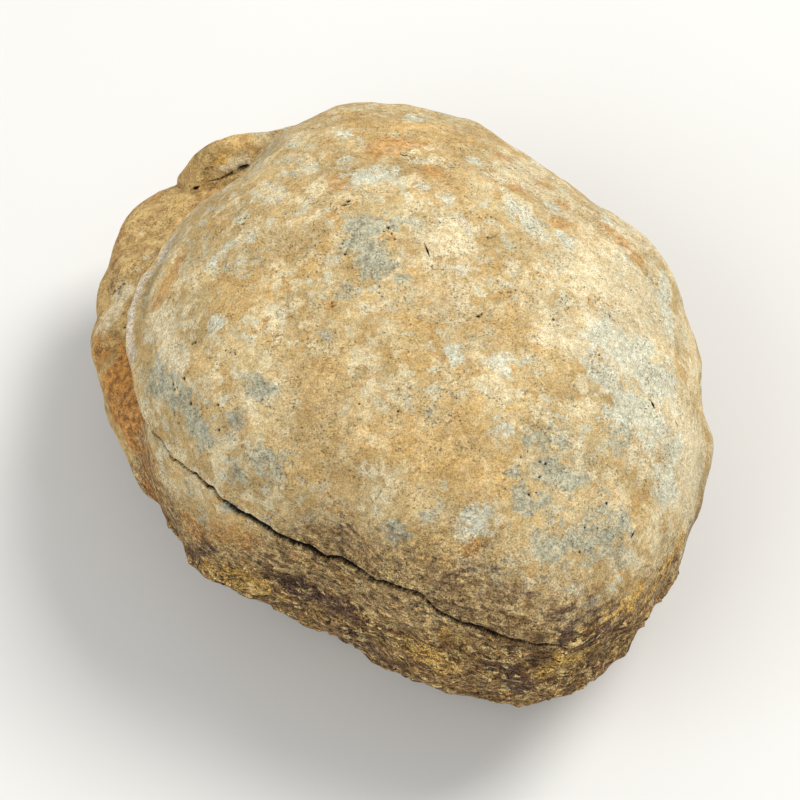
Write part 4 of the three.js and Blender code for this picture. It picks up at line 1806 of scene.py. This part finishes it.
    spots: dict[Tint, tuple[tuple, ...]] = field(
        default_factory=lambda: {
            # Paler ground, broad towards the right where the light falls, partly the stone's own colour and
            # partly painted light; on the ledge; and the knob's inner facet, painted lighter as if lit.
            Tint.PALE: (
                ((23, 4, 34), 12.0, 0.75), ((27, -8, 30), 8.0, 0.9, (30, -10, 24)),
                ((14, 20, 34), 7.0, 0.6), ((24, 14, 28), 6.0, 0.7), ((5, 6.5, 41), 5.0, 0.7),
                ((5.5, 0, 41.5), 4.0, 0.55), ((-24.3, 3.4, 31.3), 2.4, 0.8, (-22, -2.8, 33.9)),
                ((15.8, -2.6, 39.3), 3.0, 0.95), ((-18.4, 27.4, 23.1), 1.2, 0.75, (-16.6, 28, 23.5)),
                ((-27.4, 21.8, 20.6), 1.3, 0.8), ((-30.8, 10, 18.5), 1.6, 0.9, (-29, 14, 20)),
                ((-27.5, 16.5, 21), 1.2, 0.7, (-25.5, 20, 21.8)),
            ),
            # Misty white patches, and two fine scratches.
            Tint.MIST: (
                ((26, -4.5, 31.8), 3.8, 1.0, (22, -2.5, 35.5)), ((5.3, -6.5, 41.3), 1.3),
                ((10, -7.3, 40.4), 1.7), ((8.1, -21.1, 35.8), 1.5, 0.9, (6.6, -22.5, 34.5)),
                ((-1.8, 15.6, 39.3), 2.0, 1.0, (-4.3, 15, 39.5)), ((1.8, 13.9, 39.7), 1.1),
                ((1.4, 27.3, 32.3), 1.2), ((7.3, 19.6, 36), 1.3), ((5.2, 12.2, 39.9), 1.0),
                ((11.6, 13, 37.9), 1.4, 1.0, (14.3, 9, 38.2)), ((15.4, 14.7, 35.2), 1.0),
                ((16.7, 9.3, 37), 1.5, 0.9), ((21.3, 15.2, 31.3), 1.2), ((22.8, 9.7, 33.4), 1.1),
                ((26.9, 10, 29.1), 1.3, 1.0, (27.2, 1.8, 30.2)),
                ((25.4, -9.7, 32.3), 3.2, 0.95, (22, -8.5, 35.5)),
                ((27.5, -10.5, 29), 2.6, 0.95, (26, -14.5, 28.8)),
                ((21.9, -3.5, 36.1), 2.8, 1.0, (20.5, -1, 37.2)), ((20.3, -6, 37.3), 2.6, 1.1),
                ((23.9, -5.3, 34.2), 1.8, 0.7), ((10, -13.5, 39), 1.7, 0.7),
                ((21.3, -4, 36.6), 1.6, 0.8), ((-5.7, 18.5, 38), 0.9), ((-6, 22.8, 35.7), 1.3, 0.9),
                ((-8.8, 17.6, 37.8), 1.0, 0.9), ((-13.1, 13.8, 37.8), 0.9, 0.9),
                ((-18.5, 7.3, 36.1), 0.9, 0.8, (-17.6, 8.6, 36.3)), ((-18.5, -0.4, 36.6), 1.1, 0.8),
                ((6.2, 3.2, 41.3), 1.0, 0.8), ((9.5, -21.4, 35.7), 0.28, 1.0, (9.6, -23.8, 33.9)),
                ((10.0, -21.3, 35.6), 0.28, 1.0, (10.2, -24.2, 33.5)),
            ),
            # Blue-grey patches.
            Tint.BLUE: (
                ((-24, -2.5, 30), 2.2, 0.9, (-21.5, -7, 32.5)),
                ((-21.5, -7, 32.5), 1.8, 0.9, (-19.5, -11, 32.5)), ((-17, -16, 28), 1.3, 0.9),
                ((-21.5, -13.5, 25.5), 1.6, 0.7), ((-20, -15.5, 23), 1.5, 0.7),
                ((-14.6, -7.3, 38.1), 1.3, 1.2, (-13.2, -9, 38.2)), ((-16.2, -10.7, 35.5), 1.3, 0.8),
                ((-13, -15, 34), 2.2, 0.8), ((-16, -15, 31.5), 1.9, 0.7),
                ((-2.6, 4, 41.4), 2.6, 1.0, (-4.6, 8, 41.2)), ((-0.5, 8.4, 41.3), 1.3, 0.7),
                ((-5.4, 0.8, 41.3), 1.5, 0.7), ((-6.7, -4.5, 41.1), 0.9, 1.0, (-8, -3.7, 40.9)),
                ((-0.7, -22.2, 33.4), 2.0, 0.8), ((2.6, -21.3, 35.3), 1.3, 1.1),
                ((3, -12.6, 40.2), 1.4, 0.7), ((0.4, 1.9, 41.7), 1.2, 0.8),
                ((13.9, -14.4, 38.1), 2.6, 0.8), ((14.8, -17.2, 36.7), 2.2, 1.0, (16.1, -18, 35.7)),
                ((11.1, -17.5, 37.5), 0.8, 1.1), ((11.6, -19.6, 36.5), 1.2, 1.1, (12.3, -20.8, 35.8)),
                ((14.4, -19.7, 35.5), 1.4, 0.9), ((20.6, -20.9, 31.7), 4.0, 0.8, (14, -23.5, 33)),
                ((21.6, -11.8, 34.7), 2.2, 0.7),
            ),
            # Warmer ochre ground.
            Tint.OCHRE: (
                ((-15.3, 1.9, 38.3), 2.4, 0.9), ((3.8, -0.1, 41.5), 6.0, 0.7),
                ((12, -3.1, 40.4), 3.6, 0.8), ((5.7, -14.3, 39.2), 4.5, 0.9, (9.1, -18.7, 37.1)),
                ((3.8, -23, 33.7), 3.5, 0.9), ((-10, 6.1, 40.4), 4.0, 0.7),
                ((-7, -4.5, 41.2), 4.0, 0.6), ((4.5, 15.4, 38.8), 3.0, 1.0),
                ((6.2, 23.7, 33.7), 4.5, 0.8, (-4, 26, 33)), ((-8, -17, 36), 4.5, 0.8),
                ((-9, -8, 40), 3.5, 0.9, (-5, -14, 38.8)), ((-5, -19, 34.2), 2.6, 0.9, (-7, -15, 37.5)),
                ((2, -16, 38.4), 3.0, 0.9, (7, -15.5, 38.6)),
                ((-15, -19, 26), 2.2, 0.8, (-19, -17, 23)),
            ),
            # Orange-brown patches on the dome, along the flank and on the ledge.
            Tint.ORANGE: (
                ((-6.1, 14.5, 39.5), 2.0, 0.9), ((0.5, 21.1, 36.5), 2.2, 1.0, (-2, 20.1, 37.3)),
                ((4.5, 15.6, 38.8), 1.2, 0.8, (2.6, 17, 38.4)), ((16.1, 11.7, 36.4), 1.4, 1.1),
                ((16.7, 15.5, 34.1), 1.0), ((14.9, 18.5, 32.9), 1.3), ((11.5, 16, 36.5), 1.5, 0.9),
                ((10.4, 21.9, 33.2), 1.5, 0.9), ((20.8, 13.5, 32.7), 1.2, 0.9, (24.8, 9.6, 31.8)),
                ((6.4, -24.1, 33), 1.0, 1.2, (7.2, -23.6, 33.4)), ((-6.8, -0.9, 41.2), 0.6, 1.1),
                ((-22.4, 10, 32.2), 0.9, 1.1, (-24.8, 5.4, 30.8)),
                ((-22, -14, 20), 2.0, 0.95, (-16, -18.5, 24.5)),
                ((-24.5, -10, 19), 1.6, 0.7, (-25.5, -7, 23)),
                ((-6, -22.5, 26), 1.6, 0.6, (-12, -20.5, 25)),
                ((-22.4, 27.4, 20.6), 0.9, 0.7, (-21.5, 28, 22.6)),
                ((-29.5, 22.5, 18), 2.2, 0.6, (-31.8, 17, 17)),
                ((-27, 26, 18.5), 1.8, 0.5, (-24, 28, 18)),
            ),
            # Rusty end of the ledge.
            Tint.RUST: (
                ((-28.3, 0, 18.5), 3.6, 1.1, (-28.6, 4, 19.5)),
                ((-26.6, -4.8, 16.6), 3.0, 0.9, (-25.5, -8, 14)),
                ((-30.5, 7.5, 18), 2.6, 0.7, (-31.5, 10, 16)),
            ),
            # The whitish rim of the lip.
            Tint.LILAC: (
                ((-23.4, 16.5, 27.2), 0.5, 1.0, (-25.2, 12.7, 27.5)),
                ((-25.2, 12.7, 27.5), 0.65, 1.2, (-27, 9, 27.3)),
                ((-27, 9, 27.3), 0.75, 1.2, (-27.8, 4.5, 27)),
                ((-27.8, 4.5, 27), 0.65, 1.0, (-27.2, 0.5, 26.8)),
            ),
            # Yellow crust.
            Tint.YELLOW: (
                ((-19.2, 27.6, 23.9), 1.0, 0.5, (-17.2, 28.4, 24.4)),
                ((21.3, -27, 24.6), 1.1, 1.1, (24.1, -23.1, 24.2)),
                ((-19, -16.2, 16.5), 1.4, 1.1, (-14, -19.8, 17)), ((15.8, -30.9, 23.1), 1.4, 1.0),
                ((1, -27.7, 21.2), 1.3, 0.9), ((24.5, -23.5, 21.5), 0.8, 1.0, (28.5, -16, 21)),
                ((17, -29.5, 25.4), 1.0, 1.0, (20.5, -27.5, 25.6)),
                ((18.6, -29.6, 22.6), 1.1, 1.1, (14, -31.3, 21.6)),
                ((5.9, -29.3, 23.8), 0.9, 1.1, (4.6, -28.7, 24.3)),
                ((1.5, -28, 20.6), 1.9, 1.0, (4.2, -29.1, 19.8)),
                ((-18.6, -16.2, 14), 1.4, 1.1, (-11.2, -20.8, 16.4)),
                ((-21.6, -14.2, 12), 1.2, 0.8, (-18, -16, 12)),
            ),
            # Dark purple-brown crust, the browner end of the knob, and painted shade along the oblique fold.
            Tint.PURPLE: (
                ((-21.2, 26.9, 22), 0.8, 0.45, (-20.3, 27.4, 23.2)),
                ((-30.5, 17.5, 18.5), 2.0, 0.3, (-30, 14.5, 19)),
                ((-21.4, -14.6, 14.6), 1.0, 0.9, (-18.9, -16.9, 20.2)),
                ((-14.4, -19, 21.4), 0.9, 0.9, (-10.1, -21.4, 19.8)),
                ((-10.1, -21.4, 19.8), 1.9, 1.1, (-5, -23.9, 20.3)),
                ((-11.4, -19, 11), 1.4, 0.9, (-1.2, -26.2, 14)),
                ((-7.1, -23.1, 16.5), 1.5, 0.7, (-1, -26.3, 13.7)),
                ((15.7, -28.4, 29.1), 1.6, 0.7, (18.7, -28.2, 26.4)), ((16.7, -29.6, 26.1), 1.6, 1.0),
                ((18.7, -27.3, 28), 1.2, 0.7), ((-5.5, -23.5, 21.7), 1.4, 0.9),
                ((-10.1, -21.4, 16.5), 1.5, 0.8), ((-18.6, -16.5, 23.5), 1.5, 0.55),
                # painted shade along the oblique fold in the dome
                ((-6.9, -18.5, 33.3), 1.6, 0.42, (-5.2, -20.3, 31)),
                ((4.9, -25.2, 31.4), 1.8, 0.35, (15.6, -27, 30.6)),
                ((18, -29.5, 24.7), 1.5, 0.9, (21.3, -27, 23.7)),
                ((15.2, -28.9, 27.6), 1.6, 0.5, (21, -26.6, 26)),
                ((24, -24, 22.7), 1.3, 0.55, (29.5, -14.1, 18.7)),
                ((10.3, -31, 21.6), 1.9, 0.9, (12.5, -31.8, 18.4)),
                ((16, -30.7, 19), 1.6, 0.5, (20, -28.4, 18.6)),
            ),
        }
    )

    def place_pits(self) -> list[Pit]:
        """Scatters each cluster's pits over the skin round its middle.

        Returns:
            Every pit.
        """
        random = np.random.default_rng(self.pit_seed)
        pits = []
        for cluster in self.clusters:
            offsets = random.normal(size=(cluster.count, 3)) * cluster.spread * self.pit_scatter
            directions = np.array(cluster.centre) + offsets - self.form.core
            directions /= np.linalg.norm(directions, axis=1, keepdims=True)
            radii = cluster.radius * random.uniform(*self.pit_sizes, cluster.count)
            for place, radius in zip(self.form.skin(directions), radii):
                pits.append(Pit(place, float(radius), float(radius) * self.pit_depth))
        return pits

    def on_ledge(self, points: Array) -> Array:
        """Which places belong to the ledge and the knob, as a share.

        Args:
            points: places on the skin.

        Returns:
            Shares from 0 to 1.
        """
        azimuth = azimuth_of(points)
        low = np.minimum(self.form.ledge.form(points, azimuth), self.form.knob.form(points, True))
        apart = self.form.body.form(points, azimuth) - low
        return smooth_step(*self.ledge_blend, apart) * Lip.within(azimuth, *self.ledge_sector)

    def crusted(self, points: Array) -> Array:
        """Where the rough crust lies, as a share.

        Args:
            points: places on the skin.

        Returns:
            Shares from 0 to 1.
        """
        over = points[:, 2] - self.crust_level.at(azimuth_of(points))
        over = layered(points, self.crust_wander, over)
        return 1.0 - smooth_step(-self.crust_blur, self.crust_blur, over)

    def longest_edge(self, points: Array) -> Array:
        """The longest edge that the mesh may have at each place.

        Args:
            points: places in millimetres.

        Returns:
            Lengths in millimetres.
        """
        height = points[:, 2]
        azimuth = azimuth_of(points)
        levels = np.array(self.edge_lengths)
        wanted = np.interp(height, levels[:, 0], levels[:, 1])
        facing = Lip.within(azimuth, *self.crust_sector) * smooth_step(*self.crust_rise, height)
        wanted = mix(wanted, np.minimum(wanted, self.crust_edge), facing * self.crusted(points))
        rise = np.abs(height - self.lip.height)
        on_lip = Lip.within(azimuth, self.lip.sector, self.lip_fade)
        on_lip = on_lip * (1.0 - smooth_step(*self.lip_band, rise))
        wanted = mix(wanted, np.minimum(wanted, self.lip_edge), on_lip)
        plan = np.hypot(points[:, 0], points[:, 1])
        on_knob = plan > self.knob_plan
        for value, (low, high) in ((azimuth, self.knob_sector), (height, self.knob_levels)):
            on_knob &= (value > low) & (value < high)
        wanted[on_knob] = np.minimum(wanted[on_knob], self.knob_edge)
        for opening in (self.crack, self.slit):
            wanted = np.minimum(wanted, opening.fineness(points, self.cut_edge, self.cut_slope))
        for hairline in self.hairlines:
            near = np.abs(points - np.array(hairline.start)).max(axis=1) < hairline.catch
            far = np.maximum(hairline.share(points[near]) - hairline.rim, 0.0) * hairline.half_width
            wanted[near] = np.minimum(wanted[near], self.cut_edge + self.cut_slope * far)
        for pit in self.pits:
            near = pit.near(points, pit.catch)
            far = np.linalg.norm(points[near] - pit.place, axis=1)
            fine = self.pit_edge + self.cut_slope * np.maximum(far - pit.rim * pit.radius, 0.0)
            wanted[near] = np.minimum(wanted[near], fine)
        return wanted

    def fine_relief(self, points: Array, crust: Array) -> Array:
        """How far the fine lumps, flakes and crust grains stand proud.

        Args:
            points: places on the skin.
            crust: where the crust lies.

        Returns:
            Heights in millimetres.
        """
        away = np.linalg.norm(points - np.array(self.flake_middle), axis=1)
        scales = smooth_step(*self.flake_edge, self.flakes.at(points))
        flakes = self.flake_height * scales * (1.0 - smooth_step(*self.flake_reach, away))
        return layered(points, self.lumps) + layered(points, self.grains) * crust + flakes

    def cuts(self, points: Array) -> tuple[Array, Array]:
        """The depth of every crack, hairline and pit at each place, and how dark its painted shade is.

        The crack itself is left out of this painted shade, as its own masks give it a cleaner edge.

        Args:
            points: places on the skin.

        Returns:
            Depths in millimetres, and levels of painted shade, which are below 0 away from the cuts.
        """
        depth = self.crack.cut(points)
        dark = np.maximum(self.slit.shade(points), FAINTEST)
        for hairline in self.hairlines:
            share = hairline.share(points)
            depth = np.maximum(depth, hairline.depth * np.clip(1.0 - share**2, 0.0, 1.0))
            dark = np.maximum(dark, hairline.shade(share))
        for pit in self.pits:
            near = pit.near(points, 2.0 * pit.radius)
            share = pit.share(points[near])
            depth[near] = np.maximum(depth[near], pit.depth * np.clip(1.0 - share**2, 0.0, 1.0))
            dark[near] = np.maximum(dark[near], pit.shade(share))
        return depth, dark

    def stains(self, points: Array, crust: Array) -> dict[str, Array]:
        """The mask of every tint.

        Args:
            points: places on the skin.
            crust: where the crust lies.

        Returns:
            One mask per tint, by the tint's name.
        """
        warp = layered(points, self.spot_wander)
        masks = {tint.value: np.zeros(len(points)) for tint in Tint}
        for tint, rows in self.spots.items():
            for row in rows:
                cover = Spot(*row).cover(points, warp)
                masks[tint.value] = np.maximum(masks[tint.value], cover)
        ledge = self.on_ledge(points)
        over = points[:, 2] - self.flank_level.at(azimuth_of(points)) + self.flank_wander.at(points)
        flank = 1.0 - smooth_step(-self.flank_blur, self.flank_blur, over)
        masks[Tint.FLANK.value] = flank * (1.0 - ledge)
        masks[Tint.TAN.value] = ledge
        masks[Tint.CRUST.value] = crust
        return masks

    def build(self) -> bpy.types.Object:
        """Builds the stone's mesh with its cuts and relief, and keeps its masks on it.

        Returns:
            The stone.
        """
        self.pits = self.place_pits()
        skin = SkinMesh(self.form)
        skin.lay()
        skin.refine(self.longest_edge, self.refine_rounds)
        base = skin.points
        crust = self.crusted(base)
        off_floor = smooth_step(*self.foot_fade, base[:, 2])
        stand = (self.fine_relief(base, crust) + self.lip.lift(base)) * off_floor
        depth, dark = self.cuts(base)
        moved = base + skin.normals() * (stand - depth)[:, None] + self.slit.shift(base)
        moved[:, 2] = np.where(base[:, 2] > 0.0, np.maximum(moved[:, 2], 0.0), 0.0)

        mesh = bpy.data.meshes.new(self.name)
        mesh.from_pydata((moved * MM).tolist(), [], skin.faces.tolist())
        flat_map = mesh.uv_layers.new(name="OFBake")
        inset = self.map_margin + (1.0 - 2.0 * self.map_margin) * skin.corners
        flat_map.uv.foreach_set("vector", inset.ravel())
        masks = self.stains(base, crust)
        # kept for the finish: the crack's line and width and the other cuts' darkness, which place the
        # painted shade in the cuts, and the fine relief's height, which paints shade where it is low
        above, half = self.crack.away(base)
        masks[Mark.GAP.value] = dark
        masks[Mark.ABOVE.value] = np.clip(above, -1.0, 1.0)
        masks[Mark.HALF.value] = half
        masks[Mark.STAND.value] = 0.5 + stand / self.stand_range
        for name, values in masks.items():
            mesh.attributes.new(name, "FLOAT", "POINT").data.foreach_set("value", values)
        mesh.shade_smooth()
        mesh.validate()
        stone = bpy.data.objects.new(self.name, mesh)
        bpy.context.scene.collection.objects.link(stone)
        LOG.info("stone: %d triangles, %d pits", len(skin.faces), len(self.pits))
        return stone

    def dress(self, stone: bpy.types.Object) -> None:
        """Gives the stone its finish and ties it to the frame.

        Args:
            stone: the stone.
        """
        stone.data.materials.append(WeatheredStone().make())
        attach(stone, "root")
        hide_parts("concretion")


# ---------------------------------------------------------------------------------------------
# The studio
# ---------------------------------------------------------------------------------------------


@dataclass(frozen=True)
class SoftLight:
    """One soft square light: where it stands from the stone, its side, power and tint."""

    name: str
    azimuth: float
    elevation: float
    distance: float
    side: float
    power: float
    colour: Colour = (1.0, 1.0, 1.0)


@dataclass
class Studio:
    """The plain pale floor, the soft lights and the camera that looks down on the stone."""

    floor_side: float = 2.4
    distance: float = 0.42
    elevation: float = 60.0
    aim_height: float = 21.0 * MM
    lens: float = 183.3
    clip: Pair = (0.01, 10.0)
    world_grey: float = 0.5
    lights: tuple[SoftLight, ...] = (
        SoftLight("key", 62.0, 55.0, 0.8, 0.34, 5.3, (0.99, 0.975, 0.94)),
        SoftLight("fill", -125.0, 42.0, 0.8, 0.6, 2.8, (0.96, 0.98, 1.0)),
    )

    @staticmethod
    def seat(azimuth: float, elevation: float, distance: float, centre: Vector) -> Vector:
        """A place round the stone.

        Args:
            azimuth: degrees to the right of straight behind the stone as the camera sees it.
            elevation: degrees above the floor.
            distance: metres from the centre.
            centre: what it goes round.

        Returns:
            The place.
        """
        turn, rise = math.radians(azimuth), math.radians(elevation)
        flat = math.cos(rise)
        return centre + distance * Vector((flat * math.sin(turn), flat * math.cos(turn), math.sin(rise)))

    def aim(self, thing: bpy.types.Object, place: Vector, centre: Vector) -> None:
        """Puts a light or camera at a place, turned to a centre.

        Args:
            thing: the light or camera.
            place: where it stands.
            centre: what it is turned to.
        """
        thing.location = place
        thing.rotation_euler = (centre - place).to_track_quat("-Z", "Y").to_euler()
        bpy.context.scene.collection.objects.link(thing)

    def lay_floor(self, height: float) -> None:
        """Lays the floor.

        Args:
            height: the level that the stone rests on, in metres.
        """
        half = self.floor_side / 2.0
        mesh = bpy.data.meshes.new("floor")
        corners = [(-half, -half, height), (half, -half, height), (half, half, height), (-half, half, height)]
        mesh.from_pydata(corners, [], [(0, 1, 2, 3)])
        mesh.materials.append(PaleFloor().make())
        floor = bpy.data.objects.new("floor", mesh)
        bpy.context.scene.collection.objects.link(floor)

    def set_up(self, low: Vector, high: Vector) -> None:
        """Lays the floor, hangs the lights and sets the camera.

        Args:
            low: the lowest corner of the stone's box.
            high: the highest corner of the stone's box.
        """
        self.lay_floor(low.z)
        centre = Vector((0.0, 0.0, low.z + self.aim_height))
        for light in self.lights:
            lamp = bpy.data.lights.new(light.name, "AREA")
            lamp.size = light.side
            lamp.energy = light.power
            lamp.color = light.colour
            place = self.seat(light.azimuth, light.elevation, light.distance, centre)
            self.aim(bpy.data.objects.new(light.name, lamp), place, centre)
        world = bpy.data.worlds.new("soft grey")
        world.use_nodes = True
        world.node_tree.nodes["Background"].inputs["Color"].default_value = (*[self.world_grey] * 3, 1.0)
        bpy.context.scene.world = world
        lens = bpy.data.cameras.new("camera")
        lens.lens = self.lens
        lens.clip_start, lens.clip_end = self.clip
        camera = bpy.data.objects.new("camera", lens)
        self.aim(camera, self.seat(180.0, self.elevation, self.distance, centre), centre)
        bpy.context.scene.camera = camera
        bpy.context.scene.view_settings.view_transform = "Standard"
        LOG.info("studio: %d lights, stone %.1f mm tall", len(self.lights), (high.z - low.z) / MM)


def main() -> None:
    """Builds and dresses the stone, and sets up the studio round it."""
    concretion = Concretion()
    stone = concretion.build()
    concretion.dress(stone)
    LOG.info("dressed: %s", stone.name)
    Studio().set_up(*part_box("concretion"))
    bpy.context.view_layer.update()


if __name__ == "__main__":
    main()
